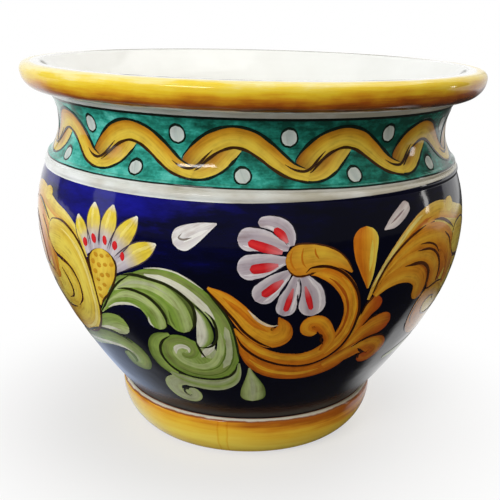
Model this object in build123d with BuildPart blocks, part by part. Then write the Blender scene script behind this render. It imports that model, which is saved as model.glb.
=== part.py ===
"""A glazed earthenware cachepot, thrown in sections, luted with slip and coated zone by zone.

Millimetres, +Z up, the origin on the axis at the ground. Every piece is a ring or a bowl turned about Z.
One thrown wall drives the whole pot: a chain of tangent arcs, taken in from the finished outside by
the thickness of each layer, so the clay, its joints and its glaze coats all follow the same curve.
"""

import os
from math import atan2, cos, degrees, hypot, radians, sin, sqrt, tan

from build123d import *

# Thicknesses of the layers
wall_thickness = 8.0
floor_thickness = 9.0
glaze_thickness = 0.8
slip_thickness = 0.6

# The thrown wall, as radii and rises from one station to the next
belly_diameter = 284.0
neck_draw_in = 15.5
belly_rise = 120.0
neck_rise = 59.0
rim_rise = 37.0
belly_turn_radius = 114.0
cove_radius = 30.5
flare_angle = 45.0

# The rolled lip at the top of the collar
lip_overhang = 23.5
lip_roll_radius = 12.5
lip_edge_radius = 4.5
lip_inner_round = 3.5

# The foot ring, and the bowl's base that sits down into it
foot_diameter = 176.0
foot_height = 30.0
foot_ledge = 3.8
foot_shoulder = 3.0
foot_taper = 15.0
foot_tread = 14.0
bowl_seat_depth = 10.0
floor_corner_radius = 18.0

# The luted joint at the shoulder, hidden by a pair of beads
shoulder_seam_rise = 36.0
seam_tongue = 4.0
bead_radius = 2.6
bead_stand = 1.2
bead_pitch = 4.2

# Where one colour of the coat gives way to the next
neck_margin = 3.4
foot_line = 1.6
bare_foot = 2.0

# How far a cutting outline reaches past what it cuts
clear = 20.0

# Stations worked out from the sizes above
belly_radius = belly_diameter / 2
neck_radius = belly_radius - neck_draw_in
rim_radius = neck_radius + lip_overhang
foot_radius = foot_diameter / 2
seat_radius = foot_radius - foot_ledge
belly_z = foot_height + belly_rise
neck_z = belly_z + neck_rise
rim_z = neck_z + rim_rise
seam_z = belly_z + shoulder_seam_rise
bowl_base_z = foot_height - bowl_seat_depth
clay_inside = glaze_thickness + wall_thickness
lining_inside = clay_inside + glaze_thickness
clay_floor_z = bowl_base_z + floor_thickness
lining_floor_z = clay_floor_z + glaze_thickness

# Centres of the wall's arcs: the shoulder rolls into the cove, and the turn into the long lower curve,
# where the wall has come parallel with the straight line from the belly to the foot
roll_sum = (neck_draw_in**2 + neck_rise**2) / (2 * neck_draw_in)
shoulder_radius = roll_sum - cove_radius
shoulder_center = (belly_radius - shoulder_radius, belly_z)
cove_center = (neck_radius + cove_radius, neck_z)
shoulder_angle = degrees(atan2(cove_center[1] - shoulder_center[1], cove_center[0] - shoulder_center[0]))
turn_angle = degrees(atan2(belly_radius - seat_radius, belly_rise))
turn_center = (belly_radius - belly_turn_radius, belly_z)
turn_normal = (cos(radians(turn_angle)), -sin(radians(turn_angle)))
turn_end = tuple(c + belly_turn_radius * n for c, n in zip(turn_center, turn_normal))
seat_step = (seat_radius - turn_end[0], foot_height - turn_end[1])
seat_drop = seat_step[0] * turn_normal[0] + seat_step[1] * turn_normal[1]
lower_radius = -(hypot(*seat_step) ** 2) / (2 * seat_drop)
lower_center = tuple(e - lower_radius * n for e, n in zip(turn_end, turn_normal))

# The foot's bulge, upright at its shoulder and drawn in by the taper at the ground, and its bore
foot_shoulder_z = foot_height - foot_shoulder
foot_bulge = (foot_taper**2 + foot_shoulder_z**2) / (2 * foot_taper)
foot_bulge_center = (foot_radius - foot_bulge, foot_shoulder_z)
clay_bulge = foot_bulge - glaze_thickness
foot_bore = foot_bulge_center[0] + sqrt(clay_bulge**2 - foot_shoulder_z**2) - foot_tread

# Centres of the lip's roll, of its outer edge and of the rounding towards the inside
lip_center = (rim_radius - lip_roll_radius, rim_z - lip_edge_radius)
edge_center = (rim_radius - lip_edge_radius, rim_z - lip_edge_radius)
round_z = rim_z - glaze_thickness - lip_inner_round


def polar(center, radius, angle):
    """The point at an angle, in degrees, on a circle of the section."""
    return (center[0] + radius * cos(radians(angle)), center[1] + radius * sin(radians(angle)))


def arc(center, radius, start, end):
    """An arc of the section from one angle to another, in degrees."""
    return CenterArc(center, radius, start, end - start)


def flare_radius(inset, z):
    """The radius of the straight flare above the cove, at a height, on the wall taken in by inset."""
    foot_of_flare = polar(cove_center, cove_radius + inset, 180 - flare_angle)
    return foot_of_flare[0] + (z - foot_of_flare[1]) * tan(radians(flare_angle))


def wall_radius(z):
    """The finished outside radius at a height between the belly and the neck."""
    if z < shoulder_center[1] + shoulder_radius * sin(radians(shoulder_angle)):
        return shoulder_center[0] + sqrt(shoulder_radius**2 - (z - shoulder_center[1]) ** 2)
    return cove_center[0] - sqrt(cove_radius**2 - (z - cove_center[1]) ** 2)


def wall_arcs(inset, lower_start):
    """The wall's chain of arcs from the foot to the flare, drawn into the open line."""
    arc(lower_center, lower_radius - inset, lower_start, -turn_angle)
    arc(turn_center, belly_turn_radius - inset, -turn_angle, 0)
    arc(shoulder_center, shoulder_radius - inset, 0, shoulder_angle)
    arc(cove_center, cove_radius + inset, 180 + shoulder_angle, 180 - flare_angle)


def wall_face(inset, base_z, mode=Mode.ADD):
    """The filled half section under the wall taken in by inset, from base_z up into the lip."""
    radius = lower_radius - inset
    drop = base_z - lower_center[1]
    base = (lower_center[0] + sqrt(radius**2 - drop**2), base_z)
    flare_foot = polar(cove_center, cove_radius + inset, 180 - flare_angle)
    across, up = sin(radians(flare_angle)), cos(radians(flare_angle))
    reach = (lip_center[0] - flare_foot[0]) * across + (lip_center[1] - flare_foot[1]) * up
    flare_top = (flare_foot[0] + reach * across, flare_foot[1] + reach * up)
    with BuildLine() as outline:
        Line((0, base_z), base)
        wall_arcs(inset, degrees(atan2(drop, base[0] - lower_center[0])))
        Polyline(flare_foot, flare_top, (0, flare_top[1]), (0, base_z))
    make_face(outline.edges(), mode=mode)


def cavity_face(inset, floor_z, mode=Mode.SUBTRACT):
    """The half section of the space inside the wall taken in by inset, with a round corner at the floor
    and a round edge at the mouth."""
    grown = inset - clay_inside
    corner = floor_corner_radius - grown
    radius = lower_radius - inset
    rise = floor_z + corner - lower_center[1]
    corner_center = (lower_center[0] + sqrt((radius - corner) ** 2 - rise**2), floor_z + corner)
    corner_end = degrees(atan2(rise, corner_center[0] - lower_center[0]))
    round_center = (flare_radius(clay_inside - lip_inner_round, round_z), round_z)
    round_radius = lip_inner_round + grown
    mouth = (round_center[0], round_center[1] + round_radius)
    with BuildLine() as outline:
        Line((0, floor_z), (corner_center[0], floor_z))
        arc(corner_center, corner, -90, corner_end)
        wall_arcs(inset, corner_end)
        Line(
            polar(cove_center, cove_radius + inset, 180 - flare_angle),
            polar(round_center, round_radius, 180 - flare_angle),
        )
        arc(round_center, round_radius, 180 - flare_angle, 90)
        Polyline(mouth, (mouth[0], rim_z + clear), (0, rim_z + clear), (0, floor_z))
    make_face(outline.edges(), mode=mode)


def lip_face(inset, mode=Mode.ADD):
    """The filled half section of the rolled lip taken in by inset."""
    roll = lip_roll_radius - inset
    top = rim_z - inset
    with BuildLine() as outline:
        Line((0, top), (edge_center[0], top))
        arc(edge_center, lip_edge_radius - inset, 90, 0)
        arc(lip_center, roll, 0, -180)
        Polyline((lip_center[0] - roll, lip_center[1]), (0, lip_center[1]), (0, top))
    make_face(outline.edges(), mode=mode)


def bead_faces(inset, rows, mode=Mode.ADD):
    """The shoulder's beads taken in by inset: row -1 is the bowl's, row 1 the collar's."""
    for row in rows:
        z = seam_z + row * bead_pitch / 2
        with Locations((wall_radius(z) - bead_radius + bead_stand, z)):
            Circle(bead_radius - inset, mode=mode)


def foot_face(inset, mode=Mode.ADD):
    """The filled half section of the foot ring, taken in by inset at its outside and its shoulder."""
    bulge = foot_bulge - inset
    ground_angle = degrees(atan2(-foot_shoulder_z, sqrt(bulge**2 - foot_shoulder_z**2)))
    with BuildLine() as outline:
        Line((0, foot_height - inset), (foot_radius - foot_shoulder, foot_height - inset))
        arc((foot_radius - foot_shoulder, foot_shoulder_z), foot_shoulder - inset, 90, 0)
        arc(foot_bulge_center, bulge, 0, ground_angle)
        Polyline(polar(foot_bulge_center, bulge, ground_angle), (0, 0), (0, foot_height - inset))
    make_face(outline.edges(), mode=mode)


def below_seam(shift, mode):
    """Everything under the shoulder joint, whose raised tongue runs round the middle of the wall."""
    z = seam_z + shift
    middle = wall_radius(seam_z) - glaze_thickness - wall_thickness / 2
    with BuildLine() as outline:
        Polyline(
            (0, -clear),
            (rim_radius + clear, -clear),
            (rim_radius + clear, z),
            (middle + wall_thickness / 2, z),
            (middle, z + seam_tongue),
            (middle - wall_thickness / 2, z),
            (0, z),
            close=True,
        )
    make_face(outline.edges(), mode=mode)


def band(low, high, inner=0.0, outer=rim_radius + clear, mode=Mode.INTERSECT):
    """A level band of the half section, from one height to another and one radius to another."""
    with BuildLine() as outline:
        Polyline((inner, low), (outer, low), (outer, high), (inner, high), close=True)
    make_face(outline.edges(), mode=mode)


def outer_coat():
    """The glaze all over the outside, drawn into the open sketch."""
    both_rows = (-1, 1)
    wall_face(0, bowl_base_z)
    lip_face(0)
    bead_faces(0, both_rows)
    foot_face(0)
    wall_face(glaze_thickness, bowl_base_z, Mode.SUBTRACT)
    lip_face(glaze_thickness, Mode.SUBTRACT)
    bead_faces(glaze_thickness, both_rows, Mode.SUBTRACT)
    foot_face(glaze_thickness, Mode.SUBTRACT)
    cavity_face(clay_inside, clay_floor_z)


os.makedirs("parts", exist_ok=True)

# The bowl: the thrown belly and floor, with the lower bead and the tongue of the shoulder joint
with BuildPart() as clay_bowl:
    with BuildSketch(Plane.XZ):
        wall_face(glaze_thickness, bowl_base_z)
        bead_faces(glaze_thickness, (-1,))
        cavity_face(clay_inside, clay_floor_z)
        below_seam(-slip_thickness / 2, Mode.INTERSECT)
    revolve(axis=Axis.Z)

# The collar: the neck, its flare and the rolled lip, grooved to sit over the bowl's tongue
with BuildPart() as clay_collar:
    with BuildSketch(Plane.XZ):
        wall_face(glaze_thickness, bowl_base_z)
        lip_face(glaze_thickness)
        bead_faces(glaze_thickness, (1,))
        cavity_face(clay_inside, clay_floor_z)
        below_seam(slip_thickness / 2, Mode.SUBTRACT)
    revolve(axis=Axis.Z)

# The foot ring: cupped to take the base of the bowl, open underneath
with BuildPart() as clay_foot_ring:
    with BuildSketch(Plane.XZ):
        foot_face(glaze_thickness)
        wall_face(glaze_thickness - slip_thickness, bowl_base_z - slip_thickness, Mode.SUBTRACT)
        band(0, foot_height, foot_bore)
    revolve(axis=Axis.Z)

# The slip that lutes the collar to the bowl
with BuildPart() as shoulder_seam_slip:
    with BuildSketch(Plane.XZ):
        wall_face(glaze_thickness, bowl_base_z)
        cavity_face(clay_inside, clay_floor_z)
        below_seam(slip_thickness / 2, Mode.INTERSECT)
        below_seam(-slip_thickness / 2, Mode.SUBTRACT)
    revolve(axis=Axis.Z)

# The slip that lutes the bowl into the foot ring
with BuildPart() as foot_seam_slip:
    with BuildSketch(Plane.XZ):
        wall_face(glaze_thickness - slip_thickness, bowl_base_z - slip_thickness)
        wall_face(glaze_thickness, bowl_base_z, Mode.SUBTRACT)
        foot_face(glaze_thickness, Mode.INTERSECT)
        band(0, foot_height, foot_bore)
    revolve(axis=Axis.Z)

# The white tin glaze inside, from the floor up and over the round edge of the mouth
with BuildPart() as lining_glaze:
    with BuildSketch(Plane.XZ):
        cavity_face(clay_inside, clay_floor_z, Mode.ADD)
        cavity_face(lining_inside, lining_floor_z)
        band(0, rim_z)
    revolve(axis=Axis.Z)

# The coats outside, each a ring that meets the next face to face
fillet_top = seam_z + bead_pitch / 2 + bead_radius
fillet_bottom = seam_z - bead_pitch / 2 - bead_radius
neck_band_top = lip_center[1] - lip_roll_radius - neck_margin
foot_line_low = foot_height - foot_line

with BuildPart() as rim_glaze:
    with BuildSketch(Plane.XZ):
        outer_coat()
        band(neck_band_top, rim_z)
        band(neck_z, lip_center[1], 0, lip_center[0], Mode.SUBTRACT)
    revolve(axis=Axis.Z)

with BuildPart() as neck_margin_glaze:
    with BuildSketch(Plane.XZ):
        outer_coat()
        band(neck_band_top, lip_center[1], 0, lip_center[0])
    revolve(axis=Axis.Z)

with BuildPart() as neck_band_glaze:
    with BuildSketch(Plane.XZ):
        outer_coat()
        band(fillet_top, neck_band_top)
    revolve(axis=Axis.Z)

with BuildPart() as fillet_glaze:
    with BuildSketch(Plane.XZ):
        outer_coat()
        band(fillet_bottom, fillet_top)
    revolve(axis=Axis.Z)

with BuildPart() as belly_glaze:
    with BuildSketch(Plane.XZ):
        outer_coat()
        band(foot_height, fillet_bottom)
    revolve(axis=Axis.Z)

with BuildPart() as foot_line_glaze:
    with BuildSketch(Plane.XZ):
        outer_coat()
        band(foot_line_low, foot_height)
    revolve(axis=Axis.Z)

with BuildPart() as foot_glaze:
    with BuildSketch(Plane.XZ):
        outer_coat()
        band(bare_foot, foot_line_low)
    revolve(axis=Axis.Z)

pieces = {
    "clay_bowl": clay_bowl,
    "clay_collar": clay_collar,
    "clay_foot_ring": clay_foot_ring,
    "shoulder_seam_slip": shoulder_seam_slip,
    "foot_seam_slip": foot_seam_slip,
    "lining_glaze": lining_glaze,
    "rim_glaze": rim_glaze,
    "neck_margin_glaze": neck_margin_glaze,
    "neck_band_glaze": neck_band_glaze,
    "fillet_glaze": fillet_glaze,
    "belly_glaze": belly_glaze,
    "foot_line_glaze": foot_line_glaze,
    "foot_glaze": foot_glaze,
}
for name, piece in pieces.items():
    piece.part.label = name
    export_step(piece.part, f"parts/{name}.step")
    size = piece.part.bounding_box().size
    print(f"{name}: {len(piece.part.solids())} solid, {piece.part.volume / 1000:.1f} cm3, "
          f"{size.X:.1f} x {size.Y:.1f} x {size.Z:.1f} mm")
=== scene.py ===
import math
import random

import bpy
from mathutils import Matrix, Vector


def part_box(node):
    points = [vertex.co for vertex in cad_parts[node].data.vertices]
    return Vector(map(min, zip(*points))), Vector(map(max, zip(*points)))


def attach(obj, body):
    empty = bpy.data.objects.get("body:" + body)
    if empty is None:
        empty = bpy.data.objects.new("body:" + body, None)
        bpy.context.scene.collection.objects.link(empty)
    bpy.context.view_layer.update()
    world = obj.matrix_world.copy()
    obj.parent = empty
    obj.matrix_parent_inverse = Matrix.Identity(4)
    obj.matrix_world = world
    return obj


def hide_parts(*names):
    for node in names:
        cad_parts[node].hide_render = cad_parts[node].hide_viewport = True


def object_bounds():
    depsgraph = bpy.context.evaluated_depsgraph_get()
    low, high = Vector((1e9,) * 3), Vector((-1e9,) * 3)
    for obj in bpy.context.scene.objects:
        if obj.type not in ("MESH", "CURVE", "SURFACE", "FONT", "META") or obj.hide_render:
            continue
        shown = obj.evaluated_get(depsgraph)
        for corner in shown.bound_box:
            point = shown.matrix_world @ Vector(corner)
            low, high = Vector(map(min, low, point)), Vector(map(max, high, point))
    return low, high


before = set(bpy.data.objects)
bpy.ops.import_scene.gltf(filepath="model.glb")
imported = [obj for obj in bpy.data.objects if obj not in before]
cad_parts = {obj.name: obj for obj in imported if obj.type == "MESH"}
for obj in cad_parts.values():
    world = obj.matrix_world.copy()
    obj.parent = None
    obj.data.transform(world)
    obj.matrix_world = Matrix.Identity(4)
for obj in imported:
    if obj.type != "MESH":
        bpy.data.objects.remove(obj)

cad_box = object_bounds()


# The clay body: a bowl, a collar and a foot ring, thrown from red earthenware and luted together with slip.
# Bare clay shows only underneath, where the foot was wiped clean of glaze before the pot was fired.
class Wire:
    """One output of a shader node, on which sums can be written."""

    def __init__(self, finish, socket):
        self.finish = finish
        self.socket = socket

    def sum(self, operation, first, second):
        return self.finish.node("ShaderNodeMath", {0: first, 1: second}, operation=operation)

    def larger(self, other):
        return self.sum("MAXIMUM", self, other)

    def __add__(self, other):
        return self.sum("ADD", self, other)

    def __sub__(self, other):
        return self.sum("SUBTRACT", self, other)

    def __rsub__(self, other):
        return self.sum("SUBTRACT", other, self)

    def __mul__(self, other):
        return self.sum("MULTIPLY", self, other)

    def __truediv__(self, other):
        return self.sum("DIVIDE", self, other)

    def __rtruediv__(self, other):
        return self.sum("DIVIDE", other, self)

    __radd__ = __add__
    __rmul__ = __mul__


class Finish:
    """A material, built node by node around one principled shader."""

    def __init__(self, name, roughness, gloss):
        self.material = bpy.data.materials.new(name)
        self.material.use_nodes = True
        self.tree = self.material.node_tree
        self.shader = self.tree.nodes["Principled BSDF"]
        self.set("Roughness", roughness)
        self.set("Specular IOR Level", gloss)

    def node(self, kind, sockets=None, out=0, stops=(), **settings):
        made = self.tree.nodes.new(kind)
        for setting, value in settings.items():
            setattr(made, setting, value)
        for place, (position, *colour) in enumerate(stops):
            points = made.color_ramp.elements
            point = points[place] if place < len(points) else points.new(position)
            point.position = position
            point.color = pigment(*colour)
        for socket, value in (sockets or {}).items():
            self.feed(made.inputs[socket], value)
        return Wire(self, made.outputs[out])

    def feed(self, socket, value):
        if isinstance(value, Wire):
            self.tree.links.new(value.socket, socket)
        else:
            socket.default_value = value

    def set(self, socket, value):
        self.feed(self.shader.inputs[socket], value)

    def mix(self, share, first, second, blend="MIX"):
        colours = {0: share, 6: first, 7: second}
        return self.node("ShaderNodeMix", colours, out=2, data_type="RGBA", blend_type=blend)

    def place(self, scale=(1, 1, 1), point=None):
        """The point on the pot, in metres, or another point, stretched by a scale along each axis."""
        point = point or self.node("ShaderNodeTexCoord", out="Object")
        return self.node("ShaderNodeVectorMath", {0: point, 1: scale}, operation="MULTIPLY")

    def axes(self, names):
        """The point's own measure along each axis named."""
        return [self.node("ShaderNodeSeparateXYZ", {0: self.place()}, out=name) for name in names]

    def distance(self, scale):
        """How far the point lies from the middle of the foot, leaving out an axis whose scale is 0."""
        return self.node("ShaderNodeVectorMath", {0: self.place(scale)}, out="Value", operation="LENGTH")

    def turn(self):
        """The angle round the pot from its front."""
        x, y = self.axes("XY")
        return x.sum("ARCTAN2", x, 0.0 - y)

    def noise(self, scale, detail, roughness=0.5, point=None):
        """Clouds over the pot, so many to the metre, or so many along each axis."""
        point = self.place(scale if isinstance(scale, tuple) else (scale,) * 3, point)
        sockets = {"Vector": point, "Scale": 1.0, "Detail": detail, "Roughness": roughness}
        return self.node("ShaderNodeTexNoise", sockets, out="Fac")

    def ramp(self, value, *stops):
        """Colours spread along a value, each stop a position and the three numbers of a pigment."""
        return self.node("ShaderNodeValToRGB", {"Fac": value}, stops=stops)

    def fade(self, value, start, end):
        """A share that rises softly from none at the start to all at the end."""
        sockets = {"Value": value, "From Min": start, "From Max": end}
        return self.node("ShaderNodeMapRange", sockets, interpolation_type="SMOOTHSTEP")

    def bump(self, height, depth, normal=None):
        sockets = {"Height": height, "Distance": depth, "Strength": 1.0}
        if normal:
            sockets["Normal"] = normal
        return self.node("ShaderNodeBump", sockets)


def pigment(red, green, blue):
    """A colour as a painter would match it on a screen, turned into the light it gives back."""

    def light(value):
        share = value / 255
        return share / 12.92 if share <= 0.04045 else ((share + 0.055) / 1.055) ** 2.4

    return (light(red), light(green), light(blue), 1.0)


terracotta = Finish("terracotta", 0.85, gloss=0.3)
clay_speck = terracotta.noise(900, 4.0, 0.7)
clay_cloud = terracotta.noise(35, 3.0)
clay_red = terracotta.ramp(clay_cloud, (0.30, 172, 98, 66), (0.72, 204, 130, 92))
clay_grog = terracotta.ramp(clay_speck, (0.62, 255, 255, 255), (0.74, 214, 190, 168))
terracotta.set("Base Color", terracotta.mix(1.0, clay_red, clay_grog, "MULTIPLY"))
throwing_rings = terracotta.noise((60, 60, 700), 2.0)
clay_grain = terracotta.bump(clay_speck, 0.0002)
terracotta.set("Normal", terracotta.bump(throwing_rings, 0.0004, clay_grain))

slip = Finish("slip", 0.9, gloss=0.2)
slip_cloud = slip.noise(220, 4.0)
slip.set("Base Color", slip.ramp(slip_cloud, (0.3, 184, 116, 82), (0.7, 212, 148, 112)))
slip.set("Normal", slip.bump(slip_cloud, 0.0002))

for finish, nodes in (
    (terracotta, ("clay_bowl", "clay_collar", "clay_foot_ring")),
    (slip, ("shoulder_seam_slip", "foot_seam_slip")),
):
    for node in nodes:
        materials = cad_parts[node].data.materials
        materials.clear()
        materials.append(finish.material)


# The lining: an opaque white tin glaze poured round the inside, from the floor up over the mouth's edge.
# Its section follows the thrown wall, a chain of tangent arcs taken in by the clay and the glaze.
glaze_thickness = 0.0008
glaze_roughness = 0.08
wall_thickness = 0.008
floor_thickness = 0.009
belly_rise = 0.120
neck_rise = 0.059
neck_draw_in = 0.0155
belly_turn_radius = 0.114
cove_radius = 0.0305
flare_angle = math.radians(45)
floor_corner_radius = 0.018
mouth_round = 0.0035
bowl_seat_depth = 0.010
foot_ledge = 0.0038
turning_steps = 360
section_step = 0.0020
round_step = math.radians(12)
sharp_edge = math.radians(40)
same_place = 1e-6


def widest(node):
    """How far a CAD node reaches out from the axis."""
    return max(math.hypot(v.co.x, v.co.y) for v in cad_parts[node].data.vertices)


belly_radius = widest("belly_glaze")
foot_radius = widest("foot_glaze")
foot_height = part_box("belly_glaze")[0].z
rim_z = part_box("rim_glaze")[1].z
belly_z = foot_height + belly_rise
neck_z = belly_z + neck_rise
neck_radius = belly_radius - neck_draw_in
seat_radius = foot_radius - foot_ledge
clay_inside = glaze_thickness + wall_thickness


def on_circle(center, radius, angle):
    return Vector((center[0] + radius * math.cos(angle), center[1] + radius * math.sin(angle)))


def arc_points(center, radius, start, end):
    """Points of a section's arc, both ends included: a section step apart, and closer on a small round."""
    turn = abs(end - start)
    count = math.ceil(max(turn * radius / section_step, turn / round_step))
    return [on_circle(center, radius, start + (end - start) * i / count) for i in range(count + 1)]


shoulder_radius = (neck_draw_in**2 + neck_rise**2) / (2 * neck_draw_in) - cove_radius
shoulder_center = Vector((belly_radius - shoulder_radius, belly_z))
cove_center = Vector((neck_radius + cove_radius, neck_z))
roll = cove_center - shoulder_center
shoulder_angle = math.atan2(roll.y, roll.x)
turn_angle = math.atan2(belly_radius - seat_radius, belly_rise)
turn_center = Vector((belly_radius - belly_turn_radius, belly_z))
turn_normal = Vector((math.cos(turn_angle), -math.sin(turn_angle)))
turn_end = turn_center + belly_turn_radius * turn_normal
seat = Vector((seat_radius, foot_height))
lower_radius = -(seat - turn_end).length_squared / (2 * (seat - turn_end).dot(turn_normal))
lower_center = turn_end - lower_radius * turn_normal


def stand(name, data):
    """A new object in the scene."""
    made = bpy.data.objects.new(name, data)
    bpy.context.scene.collection.objects.link(made)
    return made


def put_on(name, mesh, finish, slot):
    """A piece of the pot, fixed to its body."""
    mesh.materials.append(finish.material)
    piece = stand(name, mesh)
    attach(piece, "root")
    return piece


def turned(name, section, finish, slot, node):
    """A ring, or a bowl whose section starts and ends on the axis, turned in place of a CAD node."""
    verts, faces, rings = [], [], []
    for radius, height in section:
        first = len(verts)
        steps = turning_steps if radius > same_place else 1
        for step in range(steps):
            angle = 2 * math.pi * step / turning_steps
            verts.append((radius * math.sin(angle), -radius * math.cos(angle), height))
        rings.append([first + step % steps for step in range(turning_steps + 1)])
    on_axis = len(set(rings[0])) == 1
    pairs = zip(rings, rings[1:]) if on_axis else zip(rings, rings[1:] + rings[:1])
    for low, high in pairs:
        for step in range(turning_steps):
            corners = [low[step], low[step + 1], high[step + 1], high[step]]
            faces.append(list(dict.fromkeys(corners)))
    mesh = bpy.data.meshes.new(name)
    mesh.from_pydata(verts, [], faces)
    mesh.shade_smooth()
    mesh.set_sharp_from_angle(angle=sharp_edge)
    piece = put_on(name, mesh, finish, slot)
    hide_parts(node)


def inside_section(inset, floor_z):
    """The half section of the space inside, from the axis at the floor to the mouth's edge."""
    grown = inset - clay_inside
    corner = floor_corner_radius - grown
    reach = lower_radius - inset - corner
    rise = floor_z + corner - lower_center.y
    corner_center = Vector((lower_center.x + math.sqrt(reach**2 - rise**2), floor_z + corner))
    corner_end = math.atan2(rise, corner_center.x - lower_center.x)
    round_z = rim_z - glaze_thickness - mouth_round
    flare_turn = math.pi - flare_angle
    flare_foot = on_circle(cove_center, cove_radius + clay_inside - mouth_round, flare_turn)
    round_center = Vector((flare_foot.x + (round_z - flare_foot.y) * math.tan(flare_angle), round_z))
    points = [Vector((0, floor_z)), Vector((corner_center.x / 2, floor_z))]
    points += arc_points(corner_center, corner, -math.pi / 2, corner_end)
    points += arc_points(lower_center, lower_radius - inset, corner_end, -turn_angle)[1:]
    points += arc_points(turn_center, belly_turn_radius - inset, -turn_angle, 0)[1:]
    points += arc_points(shoulder_center, shoulder_radius - inset, 0, shoulder_angle)[1:]
    points += arc_points(cove_center, cove_radius + inset, math.pi + shoulder_angle, flare_turn)[1:]
    points += arc_points(round_center, mouth_round + grown, flare_turn, math.pi / 2)
    return points


def glaze_finish(name, paint, gloss=0.4):
    """A fired glaze: its colour under the slow waves, the ripple and the dimples of the melt."""
    glaze = Finish(name, glaze_roughness, gloss)
    glaze.set("Base Color", paint(glaze))
    slow_wave = glaze.noise(26, 1.0)
    ripple = glaze.noise((95, 95, 130), 1.0)
    dimple = glaze.noise(420, 2.0)
    fine = glaze.bump(ripple, 0.00012, glaze.bump(dimple, 0.00001))
    glaze.set("Normal", glaze.bump(slow_wave, 0.0009, fine))
    return glaze


def tin_white(glaze):
    cloud = glaze.noise(30, 4.0)
    return glaze.ramp(cloud, (0.25, 246, 247, 243), (0.70, 252, 253, 250))


white_glaze = glaze_finish("white_glaze", tin_white)
clay_floor_z = foot_height - bowl_seat_depth + floor_thickness
lining = inside_section(clay_inside + glaze_thickness, clay_floor_z + glaze_thickness)
lining += reversed(inside_section(clay_inside, clay_floor_z))
turned("white_lining", lining, white_glaze, "white_glaze", "lining_glaze")


# The white rings: tin glaze left bare of colour in a margin under the lip and in a line on the ledge of the
# foot. It lies thinner than the lining, so that the clay greys it; painted shade greys it more to the right.
wall_length = 0.22
halvings = 40
foot_shoulder = 0.003
foot_taper = 0.015
least_rise = 1e-9
below_flare = 0.999
# painted shade: how fast the white greys towards the right, per metre
painted_shade_to_right = 2.0
outer_arcs = [
    (lower_center, lower_radius, math.atan2(seat.y - lower_center.y, seat.x - lower_center.x), -turn_angle),
    (turn_center, belly_turn_radius, -turn_angle, 0.0),
    (shoulder_center, shoulder_radius, 0.0, shoulder_angle),
    (cove_center, -cove_radius, shoulder_angle, -flare_angle),
]


def wall(up):
    """The finished wall's point and outward normal, at a distance up the wall from the foot's ledge."""
    for center, radius, start, end in outer_arcs:
        length = abs(radius * (end - start))
        if up <= length or center is cove_center:
            angle = start + (end - start) * up / length
            normal = Vector((math.cos(angle), math.sin(angle)))
            return center + radius * normal, normal
        up -= length


def up_to(height):
    """The distance up the wall at which it reaches a height, below the flare."""
    low, high = 0.0, wall_length
    for _ in range(halvings):
        middle = (low + high) / 2
        low, high = (middle, high) if wall(middle)[0].y < height else (low, middle)
    return low


def coat_section(outline):
    """A coat of glaze behind a line of (point, outward normal) pairs."""
    behind = [point - glaze_thickness * normal for point, normal in reversed(outline)]
    return [point for point, _ in outline] + behind


def wall_line(low, high):
    count = math.ceil((high - low) / section_step)
    return [wall(low + (high - low) * i / count) for i in range(count + 1)]


def thin_white(glaze):
    """White that the clay greys, with painted shade greying it the more the further right it lies."""
    (x,) = glaze.axes("X")
    # the random cloud greys the white, and painted shade greys it further towards the right
    cloud = glaze.noise((40, 40, 120), 4.0) - x * painted_shade_to_right
    return glaze.ramp(
        cloud, (0.30, 194, 190, 173), (0.45, 214, 213, 204), (0.60, 228, 231, 226),
        (0.85, 247, 250, 250),
    )


outer_white = glaze_finish("outer_white", thin_white)
neck_band_top = up_to(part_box("neck_band_glaze")[1].z)
flare_start = up_to(neck_z + cove_radius * math.sin(flare_angle) * below_flare)
margin = coat_section(wall_line(neck_band_top, flare_start))
turned("white_margin", margin, outer_white, "white_glaze", "neck_margin_glaze")


def foot_line(low, high):
    """The foot's outside from one height to another: its bulge, its rounded shoulder and its ledge."""
    shoulder_z = foot_height - foot_shoulder
    bulge = (foot_taper**2 + shoulder_z**2) / (2 * foot_taper)
    line = []
    for radius, start, end, first in (
        (bulge, -math.asin(shoulder_z / bulge), 0, 0),
        (foot_shoulder, 0, math.pi / 2, 1),
    ):
        center = Vector((foot_radius - radius, shoulder_z))
        for point in arc_points(center, radius, start, end)[first:]:
            line.append((point, (point - center).normalized()))
    line.append((Vector((seat_radius - glaze_thickness, foot_height)), Vector((0.0, 1.0))))
    return cut_line(line, low, high)


def cut_line(line, low, high):
    """The part of a rising line between two heights, with new points where it is cut."""
    cut = []
    for (a, na), (b, nb) in zip(line, line[1:]):
        if b.y > low and a.y < high or abs(b.y - a.y) < least_rise and b.y <= high:
            rise = max(b.y - a.y, least_rise)
            for share in (max(0.0, (low - a.y) / rise), min(1.0, (high - a.y) / rise)):
                pair = (a.lerp(b, share), na.lerp(nb, share).normalized())
                if not cut or (cut[-1][0] - pair[0]).length > same_place:
                    cut.append(pair)
    return cut


def ledge_white(glaze):
    """White in the crease, with the foot's orange brushed unevenly up to it."""
    uneven = (glaze.noise(90, 3.0) - 0.5) * 0.5
    across = (glaze.distance((1, 1, 0)) - seat_radius) / foot_ledge + uneven
    return glaze.ramp(across, (0.62, 232, 226, 206), (0.80, 140, 74, 28), (1.00, 196, 118, 38))


ledge_glaze = glaze_finish("ledge_glaze", ledge_white)
foot_line_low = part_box("foot_line_glaze")[0].z
ledge = coat_section(foot_line(foot_line_low, foot_height))
turned("white_ledge", ledge, ledge_glaze, "white_glaze", "foot_line_glaze")


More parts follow.
